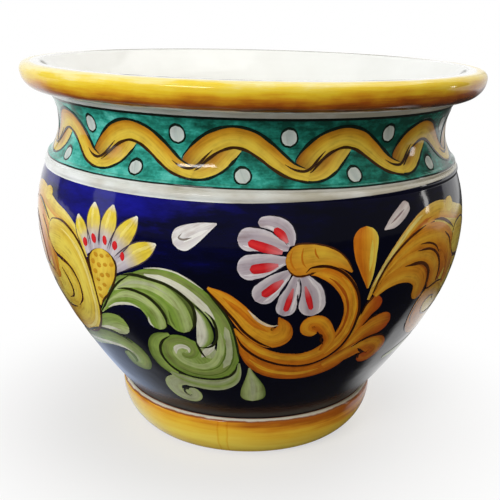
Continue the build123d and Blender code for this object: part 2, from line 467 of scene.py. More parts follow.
# The rolled lip: yellow laid on with a loaded brush while the pot turned, so its streaks run round the lip.
# The colour pales to a painted highlight on top and gathers to orange and brown in the crease under the roll,
# as pooled glaze and painted shade; painted shade also browns it towards the right, and it stops on the flat
# of the mouth.
lip_roll_radius = 0.0125
lip_edge_radius = 0.0045
lip_under = math.radians(-106)
yellow_reach = 0.0075
yellow_sway = 0.004
yellow_edge = 0.0018
rim_radius = min(-cad_box[0].x, cad_box[1].x, -cad_box[0].y, cad_box[1].y)
lip_center = Vector((rim_radius - lip_roll_radius, rim_z - lip_edge_radius))
edge_center = Vector((rim_radius - lip_edge_radius, rim_z - lip_edge_radius))
rim_white_to = rim_radius - yellow_reach


def rim_yellow(glaze):
    """Yellow over the white of the mouth, pale on top as a painted highlight, browned down the roll by
    pooling and painted shade, and browned towards the right by painted shade.
    """
    x, z = glaze.axes("XZ")
    down_the_lip = (rim_z - z) / (lip_edge_radius + lip_roll_radius)
    streak = glaze.noise((22, 22, 420), 4.0, 0.65)
    pool = glaze.noise((40, 40, 90), 4.0, 0.6)
    # a painted highlight at the top of the lip, pooled glaze and painted shade down the roll, painted shade
    # to the right
    depth = down_the_lip + (streak - 0.5) * 0.5 + (pool - 0.5) * 0.5 + x * 0.8
    yellow = glaze.ramp(
        depth, (0.00, 254, 238, 158), (0.12, 250, 222, 80), (0.30, 244, 206, 48), (0.50, 224, 158, 32),
        (0.70, 178, 92, 22), (0.92, 98, 46, 16),
    )
    out = glaze.distance((1, 1, 0)) + (pool - 0.5) * yellow_sway
    covered = glaze.fade(out, rim_white_to, rim_white_to + yellow_edge)
    return glaze.mix(covered, tin_white(glaze), yellow)


rim_glaze = glaze_finish("rim_glaze", rim_yellow, gloss=0.5)
mouth_edge = lining[len(lining) // 2 - 1]
rim_line = [(Vector((mouth_edge.x, rim_z)), Vector((0.0, 1.0)))]
for center, radius, start, end in (
    (edge_center, lip_edge_radius, math.pi / 2, 0.0),
    (lip_center, lip_roll_radius, 0.0, lip_under),
):
    for point in arc_points(center, radius, start, end):
        if (point - rim_line[-1][0]).length > same_place:
            rim_line.append((point, (point - center).normalized()))
turned("yellow_rim", coat_section(rim_line), rim_glaze, "yellow_glaze", "rim_glaze")


# The neck band: a green copper wash under a thin brush line, and on it a twisted yellow ribbon that
# runs round the neck in waves, with a pale drop painted in each gap above and below.
def neck_green(glaze):
    """Copper green, paled lower on the neck and towards the left by painted light, and darkened at its top
    under the lip by painted shade.
    """
    x, z = glaze.axes("XZ")
    streak = glaze.noise((45, 45, 260), 4.0, 0.6)
    dabs = glaze.noise((70, 70, 100), 4.0, 0.7)
    # painted shade at the top of the band under the lip, painted light lower down and towards the left
    painted_light_and_shade = (neck_z - z) * 2.5 - x * 0.9 - 0.18
    return glaze.ramp(
        streak * 0.45 + dabs * 0.85 + painted_light_and_shade, (0.34, 16, 76, 64), (0.47, 32, 124, 108),
        (0.57, 52, 164, 148), (0.72, 106, 210, 196),
    )


green_glaze = glaze_finish("green_glaze", neck_green)
fillet_low_z, fillet_high_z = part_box("fillet_glaze")[0].z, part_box("fillet_glaze")[1].z
neck_band = coat_section(wall_line(up_to(fillet_high_z), neck_band_top))
turned("green_neck_band", neck_band, green_glaze, "green_glaze", "neck_band_glaze")

MM = 0.001
paint_lift = 0.05 * MM
paint_level = 0.07 * MM
paint_sink = 0.25 * MM
row_step = 1.0 * MM
column_step = 1.4 * MM
fine_steps = 24
least_rows = 6
least_half = 0.1 * MM
round_stub = 0.003
hair_share = 0.3
hair_reach = 9 * MM
hair_thinning = 0.85
line_stub = 0.15
line_swell = 6
wobble = 0.22
slow_wobble, quick_wobble = 11, 29
lift_slope = 4
edge_outside = 0.3
paint_gloss = 0.35


def smooth_through(values, count):
    """Points spread along a smooth curve through given values."""
    knots = [2 * values[0] - values[1], *values, 2 * values[-1] - values[-2]]
    spread = []
    for i in range(count + 1):
        run = (len(values) - 1) * i / count
        k = min(int(run), len(values) - 2)
        t = run - k
        a, b, c, d = knots[k : k + 4]
        spread.append(b + (t / 2) * (c - a + t * (2 * a - 5 * b + 4 * c - d + t * (3 * (b - c) + d - a))))
    return spread


def between(stops, place):
    """The colour at a place along evenly spread stops."""
    run = min(max(place, 0.0), 1.0) * (len(stops) - 1)
    k = min(int(run), len(stops) - 2)
    return tuple(a + (b - a) * (run - k) for a, b in zip(stops[k], stops[k + 1]))


class Stroke:
    """One brush mark: points as (degrees round, mm up the wall, mm wide), from its root to its tip."""

    def __init__(self, points, turn, root, tip):
        values = [Vector((math.radians(a + turn), up * MM, wide * MM)) for a, up, wide in points]
        fine = smooth_through(values, fine_steps * (len(values) - 1))
        lengths = [0.0]
        for p, q in zip(fine, fine[1:]):
            radius = wall((p.y + q.y) / 2)[0].x
            lengths.append(lengths[-1] + math.hypot(radius * (q.x - p.x), q.y - p.y))
        self.length = lengths[-1]
        count = max(least_rows, math.ceil(self.length / row_step))
        self.rows = []
        at = 0
        for i in range(count + 1):
            goal = self.length * i / count
            while at < len(fine) - 2 and lengths[at + 1] < goal:
                at += 1
            share = (goal - lengths[at]) / max(lengths[at + 1] - lengths[at], same_place)
            self.rows.append(fine[at].lerp(fine[at + 1], share))
        self.half = self.finished([max(row.z / 2, least_half) for row in self.rows], root)
        self.half = self.finished(self.half[::-1], tip)[::-1]
        self.across = []
        for i in range(count + 1):
            p, q = self.rows[max(i - 1, 0)], self.rows[min(i + 1, count)]
            radius = wall(self.rows[i].y)[0].x
            run = Vector((radius * (q.x - p.x), q.y - p.y)).normalized()
            self.across.append(Vector((-run.y / radius, run.x)))

    def finished(self, halves, end):
        """The half widths with the first end brought in: round, drawn out to a hair, or left as it is."""
        reach = {"round": halves[0], "hair": min(hair_share * self.length, hair_reach), "open": 0.0}[end]
        brought = list(halves)
        for i in range(len(halves)):
            gone = self.length * i / (len(halves) - 1)
            if gone < reach:
                short = 1 - gone / reach
                bow = math.sqrt(max(round_stub, 1 - short**2))
                brought[i] *= bow if end == "round" else 1 - hair_thinning * short
        return brought


class Painting:
    """Brush marks on the pot's outside, gathered as thin closed skins of colour into one piece."""

    def __init__(self, name, slot, turn, seed):
        self.name, self.slot, self.turn = name, slot, turn
        self.verts, self.faces, self.normals, self.colours, self.brush = [], [], [], [], []
        self.hand = random.Random(seed)

    def vertex(self, angle, up, lift, colour, brush):
        point, normal = wall(up)
        out = point + lift * normal
        self.verts.append((out.x * math.sin(angle), -out.x * math.cos(angle), out.y))
        self.normals.append((normal.x * math.sin(angle), -normal.x * math.cos(angle), normal.y))
        self.colours.append(colour)
        self.brush.append(brush)
        return len(self.verts) - 1

    def skin(self, stroke, shades, level, along=None, beside=None, wide=None, span=(0.0, 1.0)):
        """A skin of colour over a stroke, or over a line so wide beside its middle, between two shares of it.

        The shades run from the right of the stroke to its left. The colours along it tint them, and a pair
        of levels lifts it from under its neighbours at the root to over them further on."""
        last = len(stroke.rows) - 1
        first_row, last_row = round(span[0] * last), round(span[1] * last)
        columns = max(2, math.ceil((wide or 2 * max(stroke.half)) / column_step))
        low, high = level if isinstance(level, tuple) else (level, level)
        seed = self.hand.uniform(0, 50)
        tops, bottoms = [], []
        for row in range(first_row, last_row + 1):
            u = (row - first_row) / max(1, last_row - first_row)
            middle, half = 0.0, stroke.half[row]
            if wide:
                middle = beside[0] * half + beside[1]
                sway = math.sin(seed + slow_wobble * u) * math.sin(3 * seed + quick_wobble * u)
                half = wide / 2 * (1 + wobble * sway) * min(1.0, line_stub + line_swell * min(u, 1 - u))
            lift = paint_lift + paint_level * (low + (high - low) * min(1.0, lift_slope * u))
            spot, over = stroke.rows[row], stroke.across[row]
            ends = []
            for v in (-1, 1):
                reach = middle + half * v
                ends.append((spot.x + over.x * reach, spot.y + over.y * reach))
            tint = between(along, u) if along else (0.0, 0.0, 0.0, 0.0)
            top = []
            for column in range(columns + 1):
                share = column / columns
                shade = between(shades, share)
                colour = tuple(s + (c - s) * tint[3] for s, c in zip(shade[:3], tint)) + (1.0,)
                angle, up = (a + (b - a) * share for a, b in zip(*ends))
                place = (stroke.length * row / last, middle + half * (2 * share - 1), seed)
                top.append(self.vertex(angle, up, lift, colour, place))
            bottoms.append([self.vertex(*end, -paint_sink, colour, place) for end in ends])
            tops.append(top)
        self.close(tops, bottoms)

    def close(self, tops, bottoms):
        for row in range(len(tops) - 1):
            lower, upper = tops[row], tops[row + 1]
            for column in range(len(lower) - 1):
                self.faces.append((lower[column], upper[column], upper[column + 1], lower[column + 1]))
            near, far = bottoms[row], bottoms[row + 1]
            self.faces.append((near[0], near[1], far[1], far[0]))
            self.faces.append((lower[0], near[0], far[0], upper[0]))
            self.faces.append((lower[-1], upper[-1], far[1], near[1]))
        self.faces.append((*tops[0], bottoms[0][1], bottoms[0][0]))
        self.faces.append((*reversed(tops[-1]), bottoms[-1][0], bottoms[-1][1]))

    def mark(self, points, shades, level, along=None, root="open", tip="round"):
        stroke = Stroke(points, self.turn, root, tip)
        self.skin(stroke, shades, level, along)
        return stroke

    def line(self, points, colour, wide, level):
        """A thin line drawn out to a hair at both ends."""
        stroke = Stroke([(a, up, wide) for a, up in points], self.turn, "hair", "hair")
        self.skin(stroke, (colour, colour), level)

    def streak(self, stroke, side, colour, wide, level, start, end, beyond=0.0):
        """A thin line along a stroke, so far towards one edge of it."""
        beside = (side, beyond * wide * MM)
        self.skin(stroke, (colour, colour), level, beside=beside, wide=wide * MM, span=(start, end))

    def edge(self, stroke, side, colour, wide, level, start=0.0, end=1.0):
        """A thin line along one edge of a stroke, most of it outside the edge."""
        self.streak(stroke, side, colour, wide, level, start, end, edge_outside * side)

    def done(self, finish):
        mesh = bpy.data.meshes.new(self.name)
        mesh.from_pydata(self.verts, [], self.faces)
        mesh.shade_smooth()
        colour = mesh.attributes.new("pigment", "FLOAT_COLOR", "POINT")
        colour.data.foreach_set("color", [c for vertex in self.colours for c in vertex])
        brush = mesh.attributes.new("brush", "FLOAT_VECTOR", "POINT")
        brush.data.foreach_set("vector", [c for vertex in self.brush for c in vertex])
        mesh.normals_split_custom_set_from_vertices(self.normals)
        put_on(self.name, mesh, finish, self.slot)


def brush_finish(name, streaks, flecks):
    """Colour as the brush left it: the mark's own shades, with streaks along it and thin and thick dabs."""

    def brushed(glaze):
        laid = glaze.node("ShaderNodeAttribute", out="Color", attribute_name="pigment")
        mark = glaze.node("ShaderNodeAttribute", out="Vector", attribute_name="brush")
        hair = glaze.noise((60, 800, 1), 3.0, 0.6, mark)
        dab = glaze.noise(140, 3.0)
        thick = (hair - 0.5) * streaks + (dab - 0.5) * flecks
        darker = glaze.mix(thick, laid, pigment(150, 104, 60), "MULTIPLY")
        return glaze.mix(0.0 - thick, darker, pigment(255, 246, 214), "SOFT_LIGHT")

    return glaze_finish(name, brushed, gloss=paint_gloss)


def tints(colour, *strengths):
    """A colour to tint a stroke with, and how strongly it covers the shades from the root to the tip."""
    return [(*colour[:3], strength) for strength in strengths]


ribbon_paint = brush_finish("ribbon_paint", 1.2, 0.9)
ribbon_waves = 13
ribbon_crest = -4.5
ribbon_gold = (pigment(216, 180, 58), pigment(226, 196, 72), pigment(212, 160, 42), pigment(184, 116, 26))
ribbon_fold = (pigment(224, 196, 82), pigment(218, 184, 68), pigment(194, 138, 44), pigment(142, 88, 28))
ribbon_root = pigment(128, 76, 26)
ribbon_green_ink, ribbon_brown_ink = pigment(14, 34, 26), pigment(58, 36, 14)
crest_path = [
    (-11.4, 185.6, 9.8), (-9.8, 190.4, 10.4), (-7.3, 196.4, 10.8), (-4, 201.4, 11), (0, 204, 11),
    (4, 202.2, 10.6), (7.6, 197.2, 9.8), (10.9, 191.2, 9), (14.2, 186, 7.6), (18.4, 182.9, 5.8),
]
fold_path = [
    (12.6, 188.4, 8), (15.8, 184.4, 6.6), (18.4, 182.9, 5.8), (21.3, 184.4, 7.6), (23.9, 188.8, 9.8),
    (25.9, 194, 10.6), (28, 199.8, 10.6),
]
for wave in range(ribbon_waves):
    turn = ribbon_crest + 360 / ribbon_waves * wave
    ribbon = Painting(f"neck_ribbon_{wave + 1}", "yellow_glaze", turn, 100 + wave)
    turn_shade = tints(ribbon_gold[1], 0.8, 0.8, 0.8, 0.3, 0, 0, 0)
    fold = ribbon.mark(fold_path, ribbon_fold, 0.6, along=turn_shade, tip="open")
    ribbon.edge(fold, -1, ribbon_green_ink, 1.5, 1.1, 0, 0.97)
    root_shade = tints(ribbon_root, 0.85, 0.2, 0) + tints(ribbon_gold[1], 0, 0, 0, 0.2, 0.8)
    crest = ribbon.mark(crest_path, ribbon_gold, (1.6, 4), along=root_shade, root="round", tip="open")
    ribbon.edge(crest, 1, ribbon_green_ink, 1.7, (2.1, 4.5), 0.03, 0.96)
    ribbon.edge(crest, -1, ribbon_brown_ink, 1.6, (2.1, 4.5), 0, 1)
    hook = [(12.6, 189.4), (14.8, 186.6), (17.4, 185.6), (19.4, 188), (21, 192.2), (22.8, 196.4)]
    ribbon.line(hook, ribbon_brown_ink, 1.6, 5)
    ribbon.done(ribbon_paint)

pale_paint = brush_finish("pale_paint", 0.8, 0.8)
drop_pale = (pigment(206, 214, 210), pigment(184, 196, 192), pigment(206, 214, 210))
drops = Painting("neck_drops", "white_glaze", ribbon_crest, 4)
for wave in range(ribbon_waves):
    at = 360 / ribbon_waves * wave + drops.hand.uniform(-0.4, 0.4)
    for middle, up, tall in ((13.7, 204.2, 9), (2.8, 182.9, 7.6)):
        up += drops.hand.uniform(-0.4, 0.4)
        lean = drops.hand.uniform(0.2, 0.8)
        spine = [(at + middle - lean, up + tall / 2), (at + middle, up), (at + middle + lean, up - tall / 2)]
        (high_a, high), (low_a, low) = spine[0], spine[2]
        shade = [(high_a, high + 1.8, 7), (at + middle, up, 10), (low_a, low - 1.2, 9.4)]
        drops.mark(shade, (ribbon_green_ink,) * 2, 0.1, root="round")
        drops.mark([(*point, 8) for point in spine], drop_pale, 0.6, root="round")
drops.done(pale_paint)

band_ink = pigment(16, 30, 24)
line_drop, line_wide, line_knot = 0.6, 1.7, 6
top_line = Painting("neck_line", "green_glaze", 0, 5)
knots = [(a, neck_band_top / MM - line_drop, line_wide) for a in range(0, 361, line_knot)]
top_line.mark(knots, (band_ink, band_ink), 0, tip="open")
top_line.done(pale_paint)


# The belly's ground: cobalt brushed over the white in broad level strokes, a brighter blue round each
# sunflower. Painted light brightens it to the left and up the shoulder, and painted shade makes it nearly
# black low down and towards the right.
motif_count = 3
brightest_cobalt_turn = math.radians(-40)
dull_height = 0.024
dull_roughness = 0.42


def belly_cobalt(glaze):
    """Cobalt, brighter round each sunflower, with painted light to the left and up the shoulder, and painted
    shade that makes it nearly black low down and to the right.
    """
    x, z = glaze.axes("XZ")
    around = (glaze.turn() - brightest_cobalt_turn) * motif_count
    flowers = glaze.node("ShaderNodeMath", {0: around}, operation="COSINE")
    wash = glaze.noise((18, 18, 60), 4.0, 0.6)
    dabs = glaze.noise((60, 60, 200), 4.0, 0.65)
    # painted light to the left (x) and up the shoulder (z); painted shade low down and towards the right
    wash_and_painted_light = wash * 0.5 + dabs * 0.4 + flowers * 0.08 - x * 1.1 + (z - belly_z) * 4.0 - 0.05
    return glaze.ramp(
        wash_and_painted_light, (0.34, 6, 7, 24), (0.50, 7, 8, 46), (0.62, 14, 13, 100), (0.76, 19, 19, 138),
        (0.94, 30, 32, 170),
    )


cobalt_glaze = glaze_finish("cobalt_glaze", belly_cobalt, gloss=0.3)
(cobalt_z,) = cobalt_glaze.axes("Z")
off_the_foot = cobalt_glaze.fade(cobalt_z, foot_height, foot_height + dull_height)
cobalt_glaze.set("Roughness", dull_roughness - off_the_foot * (dull_roughness - glaze_roughness))
belly = coat_section(wall_line(0.0, up_to(fillet_low_z)))
turned("cobalt_belly", belly, cobalt_glaze, "cobalt_glaze", "belly_glaze")


# The shoulder beads: a pair of clay beads that hides the joint of bowl and collar, left white. The green wash
# above ends on them in a dark line, and the cobalt below climbs over the lower one towards the right.
bead_radius = 0.0026
bead_stand = 0.0012
bead_pitch = 0.0042
bead_melt = 0.0004
bead_points = 90
bead_ends = 6
green_lap = 0.0024
lap_line = 0.0009
cobalt_lap = 0.0005
cobalt_climb = 0.032
brush_sway = 0.001
brush_edge = 0.0004
ink_edge = 0.0003


def bead_outline():
    """The two beads standing out of the wall, with glaze pooled in the grooves beside them."""
    seam_z = (fillet_low_z + fillet_high_z) / 2
    centers = []
    for row in (-1, 1):
        z = seam_z + row * bead_pitch / 2
        centers.append((wall(up_to(z))[0].x - bead_radius + bead_stand, z))
    line = []
    for i in range(bead_points + 1):
        height = fillet_low_z + (fillet_high_z - fillet_low_z) * i / bead_points
        point = wall(up_to(height))[0]
        reaches = [point.x]
        for radius, z in centers:
            if abs(height - z) < bead_radius:
                reaches.append(radius + math.sqrt(bead_radius**2 - (height - z) ** 2))
        melted = bead_melt * math.log(sum(math.exp((r - point.x) / bead_melt) for r in reaches))
        risen = min(1, min(i, bead_points - i) / bead_ends)
        line.append((Vector((point.x + melted * risen, height)), Vector((1.0, 0.0))))
    return line


def lapped_white(glaze):
    """The white of the beads, between the neck's ink and green above and the cobalt below."""
    x, z = glaze.axes("XZ")
    sway = (glaze.noise((30, 30, 60), 3.0) - 0.5) * brush_sway
    ink_low = fillet_high_z - green_lap
    green_low = ink_low + lap_line
    inked = glaze.fade(z + sway, ink_low, ink_low + ink_edge)
    greened = glaze.fade(z + sway, green_low, green_low + brush_edge)
    cobalt_top = fillet_low_z + cobalt_lap + x * cobalt_climb
    blued = glaze.fade(cobalt_top - z - sway, 0.0, brush_edge)
    laid = glaze.mix(inked, thin_white(glaze), band_ink)
    laid = glaze.mix(greened, laid, neck_green(glaze))
    return glaze.mix(blued, laid, belly_cobalt(glaze))


bead_white = glaze_finish("bead_white", lapped_white)
beads = coat_section(bead_outline())
turned("white_beads", beads, bead_white, "white_glaze", "fillet_glaze")


# The sunflowers: a spotted golden head under five white petals tipped with yellow, each with a red dab at
# its root, brushed on first so that the scrolls beside them run over their edges.
flower_paint = brush_finish("flower_paint", 1, 0.9)


def repeats(name, slot, seed, finish):
    """The paintings of one motif, three times round the belly, each finished once its marks are laid."""
    for k in range(motif_count):
        painting = Painting(f"{name}_{k + 1}", slot, 360 / motif_count * k, seed + k)
        yield painting
        painting.done(finish)


lilac = (pigment(182, 172, 182), pigment(212, 204, 208), pigment(178, 168, 180))
sun_yellow, sun_point = pigment(232, 206, 66), pigment(236, 234, 226)
sun_tints = tints(sun_yellow, 0, 0, 0, 0.3, 0.85, 1, 1) + tints(sun_point, 1)
sun_gold = (pigment(222, 176, 50), pigment(238, 208, 82), pigment(224, 182, 54))
sun_spot = (pigment(200, 140, 32), pigment(212, 160, 46))
red_dab = (pigment(200, 26, 38), pigment(228, 50, 52), pigment(200, 26, 38))
petal_ink, brown_ink = pigment(76, 64, 76), pigment(66, 42, 20)
sun_middle = -36
red_lean = 0.06
sun_petals = [
    [(-40.2, 130, 6.5), (-41.3, 136.5, 9.2), (-42.6, 142.5, 10), (-43.6, 147, 7.4), (-44.3, 151, 1.2)],
    [(-38, 132, 7.5), (-38.4, 142, 9.6), (-38.6, 149.5, 11), (-38.8, 155.4, 8), (-39, 160, 1.2)],
    [(-35.2, 132, 7.5), (-34.6, 142, 9.6), (-33.8, 149.5, 11), (-33.3, 155.6, 8), (-33, 160.6, 1.2)],
    [(-33.2, 129, 7), (-31.5, 137, 9.6), (-29.2, 145, 11.6), (-27.3, 151.2, 8.4), (-26, 156.4, 1.2)],
    [(-32.6, 124.5, 7), (-29.4, 130.2, 10), (-25.8, 135.8, 11.6), (-23, 139.6, 8.4), (-20.9, 142.9, 1.2)],
]
sun_reds = [(-41.2, 136.4), (-38.2, 139.8), (-34.7, 140.2), (-31.7, 138.4), (-29.6, 133)]
sun_head = [
    (-39.6, 96.5, 1.2), (-38.7, 103.5, 6.5), (-37.2, 111.5, 13), (-36.2, 119.5, 18.4), (-35.9, 126.5, 20.8),
    (-35.8, 134.8, 19.4),
]
sun_spots = [
    (-38.2, 104), (-37.9, 109), (-37.8, 115), (-36, 112.5), (-38.4, 120), (-36.3, 118.5),
    (-34.4, 119.5), (-38.8, 126), (-36.9, 124.5), (-34.9, 125.5), (-32.9, 126.5), (-37.7, 130.5),
    (-35.8, 130.5), (-33.8, 131.5),
]
for sunflower in repeats("sunflower", "yellow_glaze", 20, flower_paint):
    collar = [(-42, 129, 6), (-40.4, 135.5, 9), (-36.8, 138.8, 10), (-33, 137, 11), (-30.6, 131, 9)]
    sunflower.mark(collar, lilac, 0, root="round")
    for petal in sun_petals:
        stroke = sunflower.mark(petal, lilac, 0.6, along=sun_tints, tip="open")
        for side in (-1, 1):
            sunflower.edge(stroke, side, petal_ink, 0.7, 1.1, 0.15, 0.98)
        sunflower.streak(stroke, 0.2, pigment(244, 226, 120), 1.8, 1.1, 0.5, 0.88)
    for angle, up in sun_reds:
        lean = red_lean * (angle - sun_middle) + sunflower.hand.uniform(-0.4, 0.4)
        big = sunflower.hand.uniform(0.8, 1.15)
        dab = [(angle - lean, up - 3, 1.6), (angle, up - 0.4, 3.7 * big), (angle + lean, up + 2.6, 2.2 * big)]
        sunflower.mark(dab, red_dab, 1.7, root="round")
    head = sunflower.mark(sun_head, sun_gold, 2.2)
    for side in (-1, 1):
        sunflower.edge(head, side, brown_ink, 1.4, 2.8)
    for angle, up in sun_spots:
        lean = sunflower.hand.uniform(-0.5, 0.5)
        big = sunflower.hand.uniform(2, 3.4)
        near, far = (angle - 0.7, up - 1.4 * lean, big * 0.5), (angle + 0.7, up + 1.8 * lean, big * 0.7)
        sunflower.mark([near, (angle, up, big), far], sun_spot, 2.7, root="round")


# The green acanthus: one long leaf that springs from beside the sunflower, arches over three lobes and
# rolls up into a scroll, with a band under it that ends in a small curl and two more leaves behind it.
leaf_paint = brush_finish("leaf_paint", 1.4, 1)
leaf_deep, leaf_mid, leaf_light = pigment(96, 118, 48), pigment(144, 168, 84), pigment(180, 196, 130)
leaf_fresh, leaf_pale, leaf_cream = pigment(120, 152, 58), pigment(178, 186, 146), pigment(222, 222, 200)
leaf_olive, leaf_ink = pigment(128, 142, 76), pigment(38, 42, 18)
for green in repeats("green_acanthus", "green_glaze", 30, leaf_paint):
    # the leaves behind, towards the yellow scroll
    green.mark(
        [(-62, 55.5, 4), (-54, 61, 7), (-48, 68.5, 9.5), (-43.5, 75.8, 12), (-39.5, 81.5, 15),
         (-36, 84.3, 16), (-31.9, 84.2, 15.5)],
        (leaf_pale, leaf_light, leaf_mid, leaf_mid), 0.4)
    green.line([(-48, 69.6), (-43, 76.2), (-39, 79.2), (-35.4, 79.6)], leaf_cream, 2.8, 1)
    green.mark([(-36.4, 52, 9), (-34.6, 56.5, 12), (-33.6, 60, 9)],
               (leaf_deep, leaf_olive), 0.6, root="round")
    green.mark(
        [(-72, 51, 3), (-63, 54, 7.5), (-55, 58.2, 10), (-48, 64.4, 12), (-42.5, 68.4, 13.6),
         (-37.5, 69, 13.4), (-33.5, 65, 12.4), (-31.8, 57.5, 11), (-33, 50.5, 9.5), (-36.2, 50.4, 8),
         (-37.5, 56, 6.5), (-37.4, 60, 6)],
        (leaf_pale, leaf_mid, leaf_olive, leaf_deep), 1.2)
    green.line([(-62, 54), (-50, 59.8), (-44, 62.6), (-38, 63.4), (-34.8, 60.8)], leaf_cream, 2.2, 1.8)
    green.line([(-37, 61), (-35.6, 57.5), (-35.2, 53.5), (-35.9, 50.8)], leaf_deep, 3, 1.8)
    # the band under the scroll, and its curl
    green.mark(
        [(-19.8, 86, 2), (-23.2, 81.5, 7), (-25.2, 74, 8.5), (-25.6, 66, 9.4), (-24.8, 58.5, 9.4),
         (-23, 52.5, 8), (-21, 48.5, 5)],
        (leaf_deep, leaf_mid, leaf_mid), 0.4)
    curl_tints = tints(leaf_pale, 0.9, 0.4, 0, 0)
    green.mark([(-21, 33, 12), (-20.6, 27, 13)], (leaf_pale, leaf_light), 0.5, root="round")
    green.mark(
        [(-13, 42.6, 11), (-17, 43, 11), (-20.5, 43.2, 10.4), (-23.8, 39.2, 10.8), (-24.7, 32, 10.8),
         (-23, 25.2, 10.8), (-19.8, 23, 9.5), (-17.7, 26.3, 8.5), (-17.4, 31, 7.5), (-18.6, 35.5, 5)],
        (leaf_light, leaf_pale, leaf_pale, leaf_light), 0.9, along=curl_tints)
    green.mark(
        [(-2.2, 66, 2), (-2.7, 57, 5.5), (-4.6, 48.5, 9.5), (-8.2, 43.6, 12), (-12.5, 42.5, 12),
         (-17, 43.6, 10), (-21, 46.6, 7), (-23.4, 50, 2)],
        (leaf_mid, leaf_pale, leaf_mid, leaf_pale), 1.3, tip="open")
    green.line([(-17.2, 36.6), (-19.6, 35), (-21.2, 31.5), (-21, 27.5), (-19.9, 25.9), (-18.9, 27.4)],
               leaf_ink, 1.4, 1.8)
    # the dark ground between the lobes, the lobes, and the great leaf with its scroll
    green.mark(
        [(-38, 97, 3), (-33, 109, 12), (-27.5, 114.5, 19), (-21.5, 112, 25),
         (-17.2, 105, 27), (-15.8, 92, 20)],
        (leaf_deep, leaf_deep, leaf_ink), 0.2, along=tints(leaf_mid, 1, 0.5, 0))
    green.mark(
        [(-15.6, 84, 14), (-15, 74, 20), (-13, 63, 22), (-11.5, 54, 20)],
        (leaf_light, leaf_mid, leaf_mid), 0.8, root="round")
    green.mark([(-11.4, 82, 3), (-10.2, 77, 9), (-9.6, 69, 10)], (leaf_light, leaf_pale), 1)
    green.mark(
        [(-12.4, 108, 1.5), (-10.9, 101.5, 5.6), (-10.3, 94, 8.8), (-10.3, 87.5, 9.8), (-11, 82, 7.6),
         (-12, 78.2, 5)],
        (leaf_cream, leaf_cream, leaf_cream, leaf_mid, leaf_deep), 1.4)
    scroll = green.mark(
        [(-40, 91.5, 1.5), (-37, 98.5, 4), (-33.8, 108, 5), (-30.5, 116, 5.5), (-27, 121.3, 5.5),
         (-23.5, 124.8, 6), (-19, 124.8, 8), (-14.5, 121, 9.6), (-10.6, 113.8, 10.4), (-7.4, 105, 10.4),
         (-5.6, 96, 10.4), (-4.9, 87, 11), (-4.8, 78, 12.5), (-5.4, 69, 14.5), (-7.4, 60.5, 15.5),
         (-11.2, 56, 14.5), (-15.5, 56.3, 14), (-19.3, 61, 13), (-21, 68.5, 12.5), (-20.4, 76, 12),
         (-17.6, 80.8, 11), (-14.9, 79, 9.5), (-14.3, 73.5, 7.5), (-15.8, 69.5, 6), (-17.3, 71.5, 5)],
        (leaf_light, leaf_mid, leaf_olive, leaf_fresh), 1.8)
    green.streak(scroll, 0.15, leaf_pale, 4, 2.3, 0.50, 0.66)
    green.streak(scroll, -0.55, leaf_light, 2.4, 2.3, 0.52, 0.9)
    green.streak(scroll, 0.5, leaf_deep, 1, 2.3, 0.5, 0.78)
    green.streak(scroll, -0.2, leaf_deep, 0.9, 2.4, 0.56, 0.74)
    green.line([(-19.2, 69.6), (-18.8, 74.6), (-17, 77.2), (-15.3, 75.6), (-15.3, 72.2)],
               leaf_cream, 3.4, 2.4)
    green.line([(-12, 69.4), (-10.8, 73.5), (-9.4, 77.6), (-8, 82.5)], leaf_cream, 4.4, 2.4)
    green.line([(-24, 124.6), (-19, 122.6), (-15, 118.8), (-11.6, 112.6), (-9, 106), (-7.6, 101)],
               leaf_cream, 4.6, 2.4)
    lobe_shades = (leaf_mid, leaf_fresh, leaf_mid, leaf_light, leaf_mid)
    green.mark(
        [(-36.5, 102, 1.5), (-32.8, 111.5, 6), (-28.5, 117, 8), (-24, 117.6, 9.5), (-19.9, 114.2, 11.5),
         (-17.2, 107.5, 13), (-16.1, 99.5, 14), (-15.6, 89, 12.5)],
        lobe_shades, 2.6)
    green.line([(-33, 111), (-28.5, 116.8), (-23.5, 117.6), (-19, 113.4), (-16, 105)], leaf_light, 4.6, 3)
    green.line([(-32, 113), (-27.5, 118.4), (-22.5, 118.8), (-18.4, 114.4)], leaf_pale, 2, 3.1)
    green.line([(-18.6, 104), (-18.2, 97), (-17.4, 92)], leaf_deep, 1.2, 3.1)
    green.mark(
        [(-38.5, 94, 1.5), (-35.3, 101, 5), (-31.8, 106.3, 8.5), (-28.2, 108.3, 10), (-25, 106.2, 11),
         (-22.9, 100.5, 11.5), (-22.2, 94.5, 11.5), (-22.1, 88.6, 10.5)],
        lobe_shades, 2.6)
    green.line([(-36.6, 97), (-33, 101.6), (-29, 103.6), (-26.2, 102)], leaf_cream, 1.8, 3.1)
    green.line([(-34, 105), (-30, 109.6), (-26, 109.2), (-22.6, 103.5)], leaf_light, 3.6, 3.1)
    green.line([(-24.4, 97), (-24.3, 92.5), (-23.4, 89.6)], leaf_cream, 1.2, 3.1)
